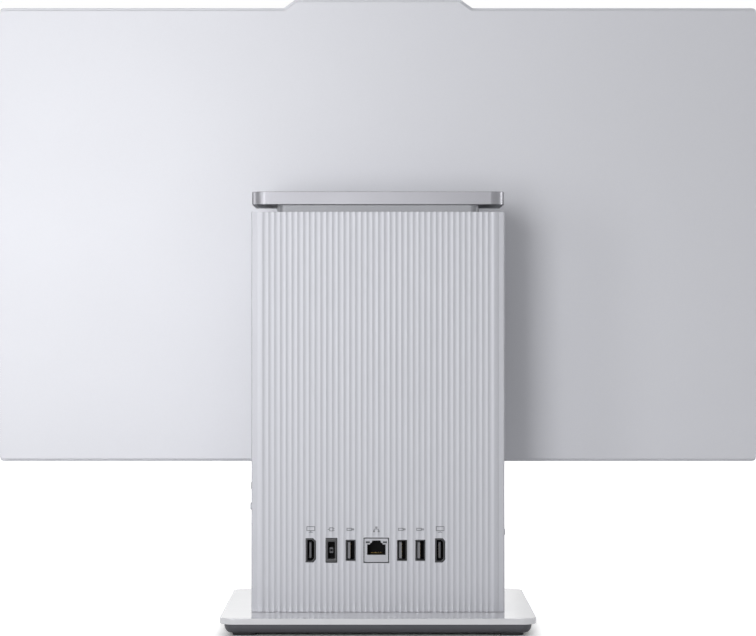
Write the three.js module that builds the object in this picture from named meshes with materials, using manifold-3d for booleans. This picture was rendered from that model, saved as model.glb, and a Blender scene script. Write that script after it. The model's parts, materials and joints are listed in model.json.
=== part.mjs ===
// An all-in-one computer: a thin tilting screen held on the computer's own
// upright fluted column, which stands on a flat weighted base.
// Millimetres. +Z is up, the screen faces -Y and the rear sockets face +Y.
// Left (-X) and right (+X) are those of a person in front of the screen.
import * as THREE from "three";
import { mergeVertices } from "three/addons/utils/BufferGeometryUtils.js";
import Module from "manifold-3d";

const wasm = await Module();
wasm.setup();

// Fits and cuts shared by the whole part
const fit = {
  seat: 0.2, // between a piece and what it rests on
  side: 0.3, // round a piece that drops into a recess or a cut-out
  running: 0.15, // radial, round a shaft in its bore
  weld: 0.5, // how deep one form of a piece runs into another form of it
  overrun: 1, // how far a cut runs past the face that it opens
};
const cornerSteps = 5;
const roundSteps = 24;
const boreSteps = 12;
const mergeDistance = 1e-4;

// Base
const base = {
  width: 207.6,
  depth: 190,
  cornerRadius: 10,
  plateThickness: 4,
  plateBevel: 0.6,
  trayHeight: 6.1,
  trayInset: 3,
  trayTaper: 4.3,
  trayWall: 2,
  trayFloor: 1.4,
};
const trayHeightShares = [0, 0.12, 0.35, 0.65, 1];
const trayTaperShares = [1, 0.62, 0.28, 0.08, 0];
const foot = {
  width: 15.5,
  depth: 24,
  height: 1.8,
  recess: 0.6,
  cornerRadius: 4,
  edgeInset: 0.9,
};

// Column that holds the computer
const column = {
  width: 168.8,
  depth: 69,
  height: 266.9,
  rearSetback: 38,
  cornerRadius: 3.3,
  wall: 2.2,
  lidDepth: 14,
  fluteCount: 40,
  flutePitch: 3.85,
  fluteDepth: 0.9,
};
const fluteSteps = 4;
const grille = {
  thickness: 2,
  recess: 1,
  slotWidth: 2.2,
  slotLength: 8,
  slotPitch: 4.6,
  slotCount: 12,
};
const steelFrame = {
  width: 150,
  thickness: 2,
  returnDepth: 10,
  footDepth: 34,
  headThickness: 3,
  headWidth: 130,
  holeRadius: 12,
  holeCount: 3,
};

// Head of the stand
const neck = {
  width: 135,
  depth: 40,
  cornerRadius: 6,
  rearInset: 4,
  padInset: 4,
};
const cap = {
  gap: 5, // air gap between the column and the cap
  thickness: 8.6,
  cornerRadius: 9,
  bevel: 0.5,
  wall: 1.5,
  top: 2.6,
  coverThickness: 1.6,
};
const arm = {
  width: 110,
  thickness: 3,
  rearInset: 6,
  reachPastAxis: 5,
};
const hinge = {
  reach: 35, // from the column's front to the tilt axis
  behindScreen: 15,
  belowCap: 11.8,
  shaftRadius: 4,
  headRadius: 6,
  headThickness: 1.8,
  nutThickness: 3,
  earThickness: 4,
  earRadius: 8.5,
  movingEarPlace: 40,
  earGap: 2,
  washerThickness: 1,
  washerCount: 3,
  washerCrown: 0.3,
  flangeWidth: 13,
  flangeThickness: 3,
  flangeFront: 6,
  flangeRear: 14,
  plateWidth: 100,
  plateThickness: 3,
  plateAbove: 6,
  plateBelow: 25,
};
const hingeCover = {
  width: 124,
  wall: 2,
  frontReach: 9,
  bottomDrop: 12,
  cornerRadius: 3,
};

// Screen
const display = {
  width: 540.8,
  height: 324.1,
  axisHeight: 166.4, // from the screen's lower edge to the tilt axis
  frameDepth: 9,
  depth: 18,
  cornerRadius: 3,
  lip: 1.5,
  bumpLowerWidth: 135,
  bumpUpperWidth: 117.4,
  bumpHeight: 6.3,
  insetTop: 2.6,
  insetBottom: 1.9,
  insetSide: 0.8,
  seatWidth: 1.6, // of the frame's rim that carries the back cover
  coverWall: 2,
  coverRound: 1.6,
};
const coverDepthShares = [0, 0.8, 0.93, 1];
const coverRoundShares = [0, 0.14, 0.45, 1];
const panel = {
  sideBorder: 6.88,
  topBorder: 6.5,
  chin: 21.14,
  margin: 1.6,
  cellThickness: 1.4,
  lightThickness: 5,
  chassisSide: 30.4, // from the screen's edges to the chassis plate
  chassisFoot: 32,
  chassisTop: 30.1,
  chassisThickness: 1.2,
  bossRadius: 4,
  bossInsetX: 40,
  bossInsetZ: 30,
};
const driverBoard = {
  width: 110,
  height: 45,
  thickness: 1.6,
  fromCentre: 120,
  fromFoot: 60,
};
const speaker = {
  width: 90,
  height: 13.6,
  depth: 12,
  fromSide: 120.4, // from the screen's side edge to the speaker's middle
  grilleCount: 8,
  grilleSlot: 4,
  mouthDepth: 3, // of the slots in the frame's lower edge
};
const camera = {
  boardWidth: 30,
  boardHeight: 5.8,
  boardDepth: 4,
  lensRadius: 2,
  lensReach: 0.5,
  holeRadius: 2.2,
  behindLip: 1.6,
};
const shutter = {
  width: 14,
  height: 5,
  thickness: 0.5,
  knobWidth: 2,
  knobHeight: 1.4,
  knobReach: 0.6,
  travel: 11,
  restEdge: 4.4, // from the lens axis to the open blade's near edge
};

// Main board and what it carries
const board = {
  width: 160,
  thickness: 1.6,
  lift: 8,
  headroom: 26.9,
  setback: 17, // from the column's rear to the board's rear face
  bossRadius: 3.5,
  bossInset: 6,
  holeRadius: 1.7,
};
const processor = { side: 38, thickness: 2.2, height: 105 };
const coldPlate = { side: 56, thickness: 4 };
const pipe = {
  radius: 3,
  bend: 12,
  startSide: 22,
  runSide: 52,
  endSide: 30,
  sides: 10,
  steps: 24,
};
const fins = {
  topInset: 3.7, // from the board's top edge to the fins' top
  width: 76,
  height: 12,
  depth: 15,
  count: 12,
  thickness: 1,
  backThickness: 1,
};
const blower = {
  width: 86,
  depth: 15,
  gapToPlate: 6,
  wall: 1.2,
  rim: 5.5, // round the bowl, on its narrower side
  outletInset: 9,
  spindleRadius: 2,
  tipGap: 4,
  bladeCount: 13,
  bladeThickness: 1,
  runningGap: 1,
};
const inletShare = 0.57;
const hubShare = 0.39;
const bladeLeanDegrees = 28;
const memory = { width: 67.6, height: 30, thickness: 3.8, foot: 35, fromCentre: 38 };
const drive = { width: 80, height: 22, thickness: 3, foot: 9.5, fromCentre: 26 };
const radioCard = { width: 30, height: 22, thickness: 2.4, foot: 9.5, fromCentre: 39 };
const coinCell = { radius: 10, thickness: 3.2, fromCentre: 62 };

// Sockets in the rear row
const ports = {
  height: 41.2, // centre of the row above the base's top
  networkPlace: 1.1,
  gap: 5.5,
  videoGap: 6.35,
  recess: 0.3,
  clearance: 0.25,
};
const videoSocket = {
  width: 6.4,
  height: 15.7,
  chamfer: 1.9,
  rim: 0.95,
  mouthDepth: 9,
  tongue: 1.5,
  tongueHeight: 10.6,
  tonguePlace: 0.3,
  tongueRecess: 0.8,
};
const inletSocket = {
  width: 7.4,
  height: 16.1,
  mouthWidth: 4.6,
  mouthHeight: 11.1,
  mouthDepth: 9,
  pinWidth: 2.4,
  pinHeight: 3.8,
  pinBore: 0.9,
  pinRecess: 1,
};
const usbSocket = {
  width: 6.2,
  height: 13.6,
  rim: 0.55,
  mouthDepth: 10,
  tongue: 1.8,
  tongueHeight: 11.1,
  tonguePlace: 1.05,
  tongueRecess: 0.8,
};
const networkSocket = {
  width: 16.1,
  height: 15.9,
  mouthWidth: 12.3,
  mouthHeight: 7,
  mouthFoot: 4.9,
  notchWidth: 6.5,
  notchHeight: 2.6,
  mouthDepth: 12,
};

// Sockets and buttons in the sides
const sides = {
  setback: 10.5, // from the column's rear to their centre line
  recess: 0.3,
  bodyReach: 14,
  footWidth: 7,
  footHeight: 7,
};
const sideUsb = { height: 42.7, tall: 13.6, deep: 6.2 };
const sideUsbC = {
  height: 58.6,
  tall: 3.4,
  deep: 9.2,
  rim: 0.45,
  mouthDepth: 7,
  tongue: 0.7,
  tongueDeep: 6.7,
};
const audioJack = { height: 83.8, collarRadius: 2.6, boreRadius: 1.8, boreDepth: 12 };
const powerButton = { height: 70, tall: 4.5, deep: 10, proud: 1.1, travel: 0.6 };
const sourceButton = { height: 52.8, tall: 4, deep: 8, proud: 0.8, travel: 0.5 };
const button = {
  stem: 4.9, // how far the button reaches behind the wall's outer face
  flangeLip: 1.2,
  flangeThickness: 1.2,
};
const keySwitch = { tall: 6, deep: 9, width: 6 };
const lockSlot = {
  height: 41.9,
  tall: 4.4,
  deep: 9,
  slotTall: 3,
  slotDeep: 7,
  reach: 4,
  flangeLip: 1.5,
  flangeThickness: 1.2,
};

// Finishes
const finishes = {
  silverPaint: { color: 0xd2d3d8, roughness: 0.45, metalness: 0.1 },
  flutedSilver: { color: 0xc6c7cc, roughness: 0.5, metalness: 0.1 },
  anodised: { color: 0xcfd0d5, roughness: 0.35, metalness: 0.9 },
  baseSilver: { color: 0xdedfe4, roughness: 0.3, metalness: 0.1 },
  neckGrey: { color: 0xa4a5aa, roughness: 0.5, metalness: 0.2 },
  darkPlastic: { color: 0x47484d, roughness: 0.6, metalness: 0 },
  blackPlastic: { color: 0x1b1c20, roughness: 0.5, metalness: 0 },
  rubber: { color: 0x2a2b2d, roughness: 0.85, metalness: 0 },
  screenGlass: { color: 0x0c0d10, roughness: 0.15, metalness: 0 },
  steel: { color: 0x9a9ca0, roughness: 0.4, metalness: 0.9 },
  portMetal: { color: 0xb9babf, roughness: 0.35, metalness: 0.8 },
  portBlack: { color: 0x17181c, roughness: 0.45, metalness: 0.1 },
  boardGreen: { color: 0x1d3b2a, roughness: 0.6, metalness: 0 },
  copper: { color: 0xb87349, roughness: 0.35, metalness: 1 },
  aluminium: { color: 0xb5b7bb, roughness: 0.45, metalness: 0.9 },
};

// Places that follow from the sizes above
const trayBottom = foot.height;
const trayTop = foot.height + base.trayHeight;
const baseTop = trayTop + base.plateThickness;
const columnRear = base.depth / 2 - column.rearSetback;
const columnMiddle = columnRear - column.depth / 2;
const capBottom = baseTop + column.height + cap.gap;
const axisY = columnMiddle - column.depth / 2 - hinge.reach;
const screenFront = axisY - hinge.behindScreen - display.depth;
const axisZ = capBottom - hinge.belowCap;
const screenFoot = axisZ - display.axisHeight;
const speakerPlace = display.width / 2 - speaker.fromSide;

// Places inside the column, from its middle and from the base's top
const halfWidth = column.width / 2;
const halfDepth = column.depth / 2;
const innerHalfWidth = halfWidth - column.wall;
const rearInner = halfDepth - column.wall - column.fluteDepth;
const frontInner = column.wall - halfDepth;
const boardRear = halfDepth - board.setback;
const boardFront = boardRear - board.thickness;
const boardTop = column.height - board.headroom;
const grilleTop = column.height - grille.recess;
const grilleFoot = grilleTop - grille.thickness;
const neckRear = halfDepth - neck.rearInset;
const sideLine = halfDepth - sides.setback;
const partsFace = boardFront - fit.seat;
const coldFace = partsFace - processor.thickness - fit.seat;
const pipeLine = coldFace - coldPlate.thickness - fit.seat - pipe.radius;
const blowerFoot = processor.height + coldPlate.side / 2 + blower.gapToPlate;
const finsFoot = boardTop - fins.topInset - fins.height;
const blowerHeight = finsFoot - fit.side - blowerFoot;
const bowlRadius = Math.min(blower.width, blowerHeight) / 2 - blower.rim;

// Solids

function solidOf(geometry) {
  const bare = geometry.index ? geometry.toNonIndexed() : geometry.clone();
  bare.deleteAttribute("normal");
  bare.deleteAttribute("uv");
  const merged = mergeVertices(bare, mergeDistance);
  return new wasm.Manifold(
    new wasm.Mesh({
      numProp: 3,
      vertProperties: merged.attributes.position.array,
      triVerts: new Uint32Array(merged.index.array),
    }),
  );
}

function geometryOf(solid) {
  const mesh = solid.getMesh();
  const shared = new THREE.BufferGeometry();
  const corners = new Float32Array(mesh.vertProperties);
  shared.setAttribute("position", new THREE.BufferAttribute(corners, 3));
  shared.setIndex(new THREE.BufferAttribute(new Uint32Array(mesh.triVerts), 1));
  const faceted = shared.toNonIndexed();
  faceted.computeVertexNormals();
  return faceted;
}

function piece(name, solid, finish, group) {
  const material = new THREE.MeshStandardMaterial(finishes[finish]);
  const mesh = new THREE.Mesh(geometryOf(solid), material);
  mesh.name = name;
  group.add(mesh);
  return mesh;
}

function groupAt(x, y, z) {
  const group = new THREE.Group();
  group.position.set(x, y, z);
  return group;
}

// A box between two corners
function block(x0, x1, y0, y1, z0, z1) {
  const box = new THREE.BoxGeometry(x1 - x0, y1 - y0, z1 - z0);
  box.translate((x0 + x1) / 2, (y0 + y1) / 2, (z0 + z1) / 2);
  return solidOf(box);
}

// The points of a rectangle with round corners, anticlockwise from its right side
function roundedPoints(width, height, radius) {
  const points = [];
  const across = width / 2 - radius;
  const up = height / 2 - radius;
  const corners = [
    [across, up],
    [-across, up],
    [-across, -up],
    [across, -up],
  ];
  corners.forEach(([x, y], corner) => {
    for (let step = 0; step <= cornerSteps; step++) {
      const angle = ((corner + step / cornerSteps) * Math.PI) / 2;
      points.push(
        new THREE.Vector2(x + radius * Math.cos(angle), y + radius * Math.sin(angle)),
      );
    }
  });
  return points;
}

function roundedShape(width, height, radius) {
  return new THREE.Shape(roundedPoints(width, height, radius));
}

function rectangle(x0, x1, y0, y1) {
  return new THREE.Shape([
    new THREE.Vector2(x0, y0),
    new THREE.Vector2(x1, y0),
    new THREE.Vector2(x1, y1),
    new THREE.Vector2(x0, y1),
  ]);
}

function extruded(shape, length) {
  return new THREE.ExtrudeGeometry(shape, {
    depth: length,
    bevelEnabled: false,
    curveSegments: cornerSteps,
  });
}

// A shape drawn in X and Y, from z0 up to z1
function prismZ(shape, z0, z1) {
  const geometry = extruded(shape, z1 - z0);
  geometry.translate(0, 0, z0);
  return solidOf(geometry);
}

// A shape drawn in X and Z, from y0 back to y1
function prismY(shape, y0, y1) {
  const geometry = extruded(shape, y1 - y0);
  geometry.rotateX(Math.PI / 2);
  geometry.translate(0, y1, 0);
  return solidOf(geometry);
}

// A shape drawn in Y and Z, from x0 across to x1
function prismX(shape, x0, x1) {
  const geometry = extruded(shape, x1 - x0);
  const turn = new THREE.Matrix4().makeBasis(
    new THREE.Vector3(0, 1, 0),
    new THREE.Vector3(0, 0, 1),
    new THREE.Vector3(1, 0, 0),
  );
  geometry.applyMatrix4(turn);
  geometry.translate(x0, 0, 0);
  return solidOf(geometry);
}

function rodX(radius, x0, x1, y, z, sideCount = roundSteps) {
  const rod = new THREE.CylinderGeometry(radius, radius, x1 - x0, sideCount);
  rod.rotateZ(Math.PI / 2);
  rod.translate((x0 + x1) / 2, y, z);
  return solidOf(rod);
}

function rodY(radius, y0, y1, x, z, sideCount = roundSteps) {
  const rod = new THREE.CylinderGeometry(radius, radius, y1 - y0, sideCount);
  rod.translate(x, (y0 + y1) / 2, z);
  return solidOf(rod);
}

// A closed solid through outlines of equally many points, stacked along Z
function stacked(levels) {
  const corners = [];
  const faces = [];
  const count = levels[0].points.length;
  levels.forEach(({ points, z }) =>
    points.forEach((point) => corners.push(point.x, point.y, z)),
  );
  for (let level = 0; level + 1 < levels.length; level++) {
    for (let i = 0; i < count; i++) {
      const a = level * count + i;
      const b = level * count + ((i + 1) % count);
      faces.push(a, b, b + count, a, b + count, a + count);
    }
  }
  const last = (levels.length - 1) * count;
  THREE.ShapeUtils.triangulateShape(levels[0].points, []).forEach(([a, b, c]) =>
    faces.push(a, c, b),
  );
  THREE.ShapeUtils.triangulateShape(levels.at(-1).points, []).forEach(([a, b, c]) =>
    faces.push(last + a, last + b, last + c),
  );
  const geometry = new THREE.BufferGeometry();
  geometry.setAttribute("position", new THREE.Float32BufferAttribute(corners, 3));
  geometry.setIndex(faces);
  return geometry;
}

// A plate with round corners whose outline draws in by an inset at each level
function roundedStack(width, depth, radius, levels) {
  return solidOf(
    stacked(
      levels.map(({ z, inset }) => ({
        z,
        points: roundedPoints(width - 2 * inset, depth - 2 * inset, radius - inset),
      })),
    ),
  );
}

function joined(solids) {
  return solids.reduce((sum, solid) => sum.add(solid));
}

// Base

function baseTray() {
  const width = base.width - 2 * base.trayInset;
  const depth = base.depth - 2 * base.trayInset;
  const radius = base.cornerRadius - base.trayInset;
  const height = base.trayHeight - fit.seat;
  const levels = trayHeightShares.map((share, i) => ({
    z: share * height,
    inset: trayTaperShares[i] * base.trayTaper,
  }));
  const body = roundedStack(width, depth, radius, levels);
  const inset = base.trayTaper + base.trayWall;
  const hollow = block(
    inset - width / 2,
    width / 2 - inset,
    inset - depth / 2,
    depth / 2 - inset,
    base.trayFloor,
    height + fit.overrun,
  );
  return footPlaces().reduce(
    (tray, place) => tray.subtract(footRecess(place)),
    body.subtract(hollow),
  );
}

function footPlaces() {
  const inset = base.trayInset + base.trayTaper + foot.edgeInset;
  const x = base.width / 2 - inset - foot.width / 2;
  const y = base.depth / 2 - inset - foot.depth / 2;
  return [
    { name: "foot_front_left", x: -x, y: -y },
    { name: "foot_front_right", x, y: -y },
    { name: "foot_rear_left", x: -x, y },
    { name: "foot_rear_right", x, y },
  ];
}

function footRecess({ x, y }) {
  const shape = roundedShape(
    foot.width + 2 * fit.side,
    foot.depth + 2 * fit.side,
    foot.cornerRadius + fit.side,
  );
  return prismZ(shape, -fit.overrun, foot.recess).translate(x, y, 0);
}

function footPad() {
  const shape = roundedShape(foot.width, foot.depth, foot.cornerRadius);
  return prismZ(shape, 0, foot.height + foot.recess - fit.seat);
}

function basePlate() {
  const height = base.plateThickness;
  return roundedStack(base.width, base.depth, base.cornerRadius, [
    { z: 0, inset: base.plateBevel },
    { z: base.plateBevel, inset: 0 },
    { z: height - base.plateBevel, inset: 0 },
    { z: height, inset: base.plateBevel },
  ]);
}

function baseWeight() {
  const inset = base.trayInset + base.trayTaper + base.trayWall + fit.side;
  return block(
    inset - base.width / 2,
    base.width / 2 - inset,
    inset - base.depth / 2,
    base.depth / 2 - inset,
    base.trayFloor + fit.seat,
    base.trayHeight - fit.seat,
  );
}

function addBase(root) {
  const group = groupAt(0, 0, trayBottom);
  root.add(group);
  piece("base_tray", baseTray(), "darkPlastic", group);
  piece("base_weight", baseWeight(), "steel", group);
  const plate = piece("base_top_plate", basePlate(), "baseSilver", group);
  plate.position.z = base.trayHeight;
  footPlaces().forEach(({ name, x, y }) => {
    const pad = piece(name, footPad(), "rubber", root);
    pad.position.set(x, y, 0);
  });
}

// Column shells

// The rear shell's outline: two side walls and the fluted rear wall
function rearShellShape(front) {
  const { cornerRadius, fluteCount, flutePitch, fluteDepth } = column;
  const points = [];
  const add = (x, y) => points.push(new THREE.Vector2(x, y));
  const corner = (x, startAngle) => {
    for (let step = 0; step <= cornerSteps; step++) {
      const angle = startAngle + ((step / cornerSteps) * Math.PI) / 2;
      add(
        x + cornerRadius * Math.cos(angle),
        halfDepth - cornerRadius + cornerRadius * Math.sin(angle),
      );
    }
  };
  add(innerHalfWidth, front);
  add(halfWidth, front);
  corner(halfWidth - cornerRadius, 0);
  const fieldEnd = (fluteCount * flutePitch) / 2;
  for (let step = 0; step <= fluteCount * fluteSteps; step++) {
    const along = (step % fluteSteps) / fluteSteps;
    const drop = fluteDepth * 4 * along * (1 - along);
    add(fieldEnd - (step / fluteSteps) * flutePitch, halfDepth - drop);
  }
  corner(cornerRadius - halfWidth, Math.PI / 2);
  add(-halfWidth, front);
  add(-innerHalfWidth, front);
  add(-innerHalfWidth, rearInner);
  add(innerHalfWidth, rearInner);
  return new THREE.Shape(points);
}

function boardBossPlaces() {
  const x = board.width / 2 - board.bossInset;
  const low = board.lift + board.bossInset;
  const high = boardTop - board.bossInset;
  return [
    [-x, low],
    [x, low],
    [-x, high],
    [x, high],
  ];
}

function rearShell() {
  const front = column.lidDepth - halfDepth + fit.side;
  const wall = prismZ(rearShellShape(front), fit.seat, column.height);
  const bosses = boardBossPlaces().map(([x, z]) =>
    rodY(board.bossRadius, boardRear + fit.seat, rearInner + fit.weld, x, z, boreSteps),
  );
  const cuts = rearCutters().concat(sideCutters());
  return cuts.reduce((shell, cut) => shell.subtract(cut), joined([wall, ...bosses]));
}

function frontShell() {
  const outer = roundedShape(column.width, column.depth, column.cornerRadius);
  const hollow = rectangle(-innerHalfWidth, innerHalfWidth, frontInner, halfDepth);
  const behind = rectangle(
    -halfWidth - fit.overrun,
    halfWidth + fit.overrun,
    column.lidDepth - halfDepth,
    halfDepth + fit.overrun,
  );
  return prismZ(outer, fit.seat, column.height)
    .subtract(prismZ(hollow, 0, column.height + fit.overrun))
    .subtract(prismZ(behind, 0, column.height + fit.overrun));
}

// Rear sockets: each has an outline in X and Z about its own centre

function plainOutline(width, height) {
  return [
    [-width / 2, -height / 2],
    [width / 2, -height / 2],
    [width / 2, height / 2],
    [-width / 2, height / 2],
  ];
}

// Flat on its right side, with both left corners cut off
function videoOutline(width, height, chamfer) {
  return [
    [chamfer - width / 2, -height / 2],
    [width / 2, -height / 2],
    [width / 2, height / 2],
    [chamfer - width / 2, height / 2],
    [-width / 2, height / 2 - chamfer],
    [-width / 2, chamfer - height / 2],
  ];
}

function outlineShape(outline) {
  return new THREE.Shape(outline.map(([x, z]) => new THREE.Vector2(x, z)));
}

function rearRow() {
  const step = (a, b, gap) => (a.width + b.width) / 2 + gap + 2 * ports.clearance;
  const network = ports.networkPlace;
  const usbStep = step(networkSocket, usbSocket, ports.gap);
  const rightUsb = network + usbStep;
  const middleUsb = network - usbStep;
  const leftUsb = middleUsb - step(usbSocket, usbSocket, ports.gap);
  const inlet = rightUsb + step(usbSocket, inletSocket, ports.gap);
  const rightVideo = inlet + step(inletSocket, videoSocket, ports.videoGap);
  const leftVideo = leftUsb - step(usbSocket, videoSocket, ports.videoGap);
  return [
    { name: "video_socket_right", kind: "video", x: rightVideo },
    { name: "power_inlet", kind: "inlet", x: inlet },
    { name: "usb_socket_right", kind: "usb", x: rightUsb },
    { name: "network_socket", kind: "network", x: network },
    { name: "usb_socket_middle", kind: "usb", x: middleUsb },
    { name: "usb_socket_left", kind: "usb", x: leftUsb },
    { name: "video_socket_left", kind: "video", x: leftVideo },
  ];
}

// A socket's outer outline, grown by a clearance for its cut-out
function socketOutline(kind, grow) {
  if (kind === "video") {
    const { width, height, chamfer } = videoSocket;
    return videoOutline(width + 2 * grow, height + 2 * grow, chamfer);
  }
  const size = { inlet: inletSocket, usb: usbSocket, network: networkSocket }[kind];
  return plainOutline(size.width + 2 * grow, size.height + 2 * grow);
}

function rearCutters() {
  return rearRow().map(({ kind, x }) =>
    prismY(
      outlineShape(socketOutline(kind, ports.clearance)),
      rearInner - fit.overrun,
      halfDepth + fit.overrun,
    ).translate(x, 0, ports.height),
  );
}

function socketBody(kind, face, back) {
  return prismY(outlineShape(socketOutline(kind, 0)), back, face);
}

function videoConnector(face, back) {
  const { width, height, chamfer, rim, mouthDepth } = videoSocket;
  const mouth = videoOutline(width - 2 * rim, height - 2 * rim, chamfer - rim / 2);
  const hollow = prismY(outlineShape(mouth), face - mouthDepth, face + fit.overrun);
  const tongue = block(
    videoSocket.tonguePlace - videoSocket.tongue / 2,
    videoSocket.tonguePlace + videoSocket.tongue / 2,
    face - mouthDepth - fit.weld,
    face - videoSocket.tongueRecess,
    -videoSocket.tongueHeight / 2,
    videoSocket.tongueHeight / 2,
  );
  return socketBody("video", face, back).subtract(hollow).add(tongue);
}

function inletConnector(face, back) {
  const { mouthWidth, mouthHeight, mouthDepth, pinWidth, pinHeight } = inletSocket;
  const mouth = outlineShape(plainOutline(mouthWidth, mouthHeight));
  const hollow = prismY(mouth, face - mouthDepth, face + fit.overrun);
  const pinFace = face - inletSocket.pinRecess;
  const pin = prismY(
    outlineShape(plainOutline(pinWidth, pinHeight)),
    face - mouthDepth - fit.weld,
    pinFace,
  );
  const bore = rodY(inletSocket.pinBore, face - mouthDepth, face + fit.overrun, 0, 0);
  return socketBody("inlet", face, back).subtract(hollow).add(pin).subtract(bore);
}

function usbConnector(face, back) {
  const { width, height, rim, mouthDepth } = usbSocket;
  const mouth = outlineShape(plainOutline(width - 2 * rim, height - 2 * rim));
  const hollow = prismY(mouth, face - mouthDepth, face + fit.overrun);
  const tongue = block(
    usbSocket.tonguePlace - usbSocket.tongue / 2,
    usbSocket.tonguePlace + usbSocket.tongue / 2,
    face - mouthDepth - fit.weld,
    face - usbSocket.tongueRecess,
    -usbSocket.tongueHeight / 2,
    usbSocket.tongueHeight / 2,
  );
  return socketBody("usb", face, back).subtract(hollow).add(tongue);
}

function networkConnector(face, back) {
  const { height, mouthWidth, mouthHeight, mouthFoot, mouthDepth } = networkSocket;
  const low = mouthFoot - height / 2;
  const top = low + mouthHeight;
  const mouth = rectangle(-mouthWidth / 2, mouthWidth / 2, low, top);
  const notch = rectangle(
    -networkSocket.notchWidth / 2,
    networkSocket.notchWidth / 2,
    top - fit.weld,
    top + networkSocket.notchHeight,
  );
  return socketBody("network", face, back)
    .subtract(prismY(mouth, face - mouthDepth, face + fit.overrun))
    .subtract(prismY(notch, face - mouthDepth, face + fit.overrun));
}

function addRearSockets(group) {
  const face = halfDepth - ports.recess;
  const back = boardRear + fit.seat;
  const makers = {
    video: videoConnector,
    inlet: inletConnector,
    usb: usbConnector,
    network: networkConnector,
  };
  rearRow().forEach(({ name, kind, x }) => {
    const finish = kind === "network" ? "portMetal" : "portBlack";
    const socket = piece(name, makers[kind](face, back), finish, group);
    socket.position.set(x, 0, ports.height);
  });
}

// Sockets and buttons in the sides, drawn on the right side and mirrored for the left

function pill(deep, tall) {
  return roundedShape(deep, tall, tall / 2 - fit.seat);
}

function sideCutters() {
  const x0 = innerHalfWidth - fit.overrun;
  const x1 = halfWidth + fit.overrun;
  const cut = (shape, height) => prismX(shape, x0, x1).translate(0, sideLine, height);
  const square = ({ deep, tall }) =>
    outlineShape(plainOutline(deep + 2 * ports.clearance, tall + 2 * ports.clearance));
  const round = ({ deep, tall }) => pill(deep + 2 * fit.side, tall + 2 * fit.side);
  const jack = rodX(
    audioJack.collarRadius + ports.clearance,
    x0,
    x1,
    sideLine,
    audioJack.height,
  );
  const right = [
    cut(square(sideUsb), sideUsb.height),
    cut(round(sideUsbC), sideUsbC.height),
    cut(round(powerButton), powerButton.height),
    jack,
  ];
  const left = [
    cut(round(sourceButton), sourceButton.height),
    cut(square(lockSlot), lockSlot.height),
  ];
  return right.concat(left.map((cutter) => cutter.mirror([1, 0, 0])));
}

// The block behind a side socket, which carries it on the main board
function sideFoot(height) {
  const x0 = halfWidth - sides.bodyReach;
  return block(
    x0,
    x0 + sides.footWidth,
    boardRear + fit.seat,
    sideLine,
    height - sides.footHeight / 2,
    height + sides.footHeight / 2,
  );
}

function sideUsbConnector() {
  const x0 = halfWidth - sides.bodyReach;
  const x1 = halfWidth - sides.recess;
  const { rim, mouthDepth, tongue, tonguePlace, tongueRecess } = usbSocket;
  const body = prismX(outlineShape(plainOutline(sideUsb.deep, sideUsb.tall)), x0, x1);
  const mouth = outlineShape(
    plainOutline(sideUsb.deep - 2 * rim, sideUsb.tall - 2 * rim),
  );
  const hollow = prismX(mouth, x1 - mouthDepth, x1 + fit.overrun);
  const blade = block(
    x1 - mouthDepth - fit.weld,
    x1 - tongueRecess,
    tonguePlace - tongue / 2,
    tonguePlace + tongue / 2,
    -usbSocket.tongueHeight / 2,
    usbSocket.tongueHeight / 2,
  );
  return body
    .subtract(hollow)
    .add(blade)
    .translate(0, sideLine, sideUsb.height)
    .add(sideFoot(sideUsb.height));
}

function sideUsbCConnector() {
  const x0 = halfWidth - sides.bodyReach;
  const x1 = halfWidth - sides.recess;
  const { deep, tall, rim, mouthDepth, tongue, tongueDeep } = sideUsbC;
  const mouth = pill(deep - 2 * rim, tall - 2 * rim);
  const blade = block(
    x1 - mouthDepth - fit.weld,
    x1 - usbSocket.tongueRecess,
    -tongueDeep / 2,
    tongueDeep / 2,
    -tongue / 2,
    tongue / 2,
  );
  return prismX(pill(deep, tall), x0, x1)
    .subtract(prismX(mouth, x1 - mouthDepth, x1 + fit.overrun))
    .add(blade)
    .translate(0, sideLine, sideUsbC.height)
    .add(sideFoot(sideUsbC.height));
}

function audioConnector() {
  const x0 = halfWidth - sides.bodyReach;
  const x1 = halfWidth - sides.recess;
  const { height, collarRadius, boreRadius, boreDepth } = audioJack;
  const collar = rodX(collarRadius, x0, x1, sideLine, height);
  const bore = rodX(boreRadius, x1 - boreDepth, x1 + fit.overrun, sideLine, height);
  return collar.add(sideFoot(height)).subtract(bore);
}

// A side button: a pill-shaped stem with a flange that keeps it in the wall
function sideButton({ tall, deep, proud }) {
  const flangeOuter = innerHalfWidth - fit.side;
  const flange = prismX(
    pill(deep + 2 * button.flangeLip, tall + 2 * button.flangeLip),
    flangeOuter - button.flangeThickness,
    flangeOuter,
  );
  const stem = prismX(pill(deep, tall), halfWidth - button.stem, halfWidth + proud);
  return stem.add(flange);
}

function switchBlock({ travel }) {
  const x1 = halfWidth - button.stem - travel - fit.seat;
  const x0 = x1 - keySwitch.width;
  return block(
    x0,
    x1,
    boardRear + fit.seat - sideLine,
    keySwitch.deep / 2,
    -keySwitch.tall / 2,
    keySwitch.tall / 2,
  );
}

function lockInsert() {
  const outer = outlineShape(plainOutline(lockSlot.deep, lockSlot.tall));
  const lip = 2 * lockSlot.flangeLip;
  const wide = outlineShape(plainOutline(lockSlot.deep + lip, lockSlot.tall + lip));
  const slot = outlineShape(plainOutline(lockSlot.slotDeep, lockSlot.slotTall));
  const x1 = halfWidth - sides.recess;
  const flangeOuter = innerHalfWidth - fit.side;
  const flange = prismX(wide, flangeOuter - lockSlot.flangeThickness, flangeOuter);
  return prismX(outer, x1 - lockSlot.reach, x1)
    .add(flange)
    .subtract(prismX(slot, x1 - lockSlot.reach - fit.overrun, x1 + fit.overrun));
}

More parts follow.
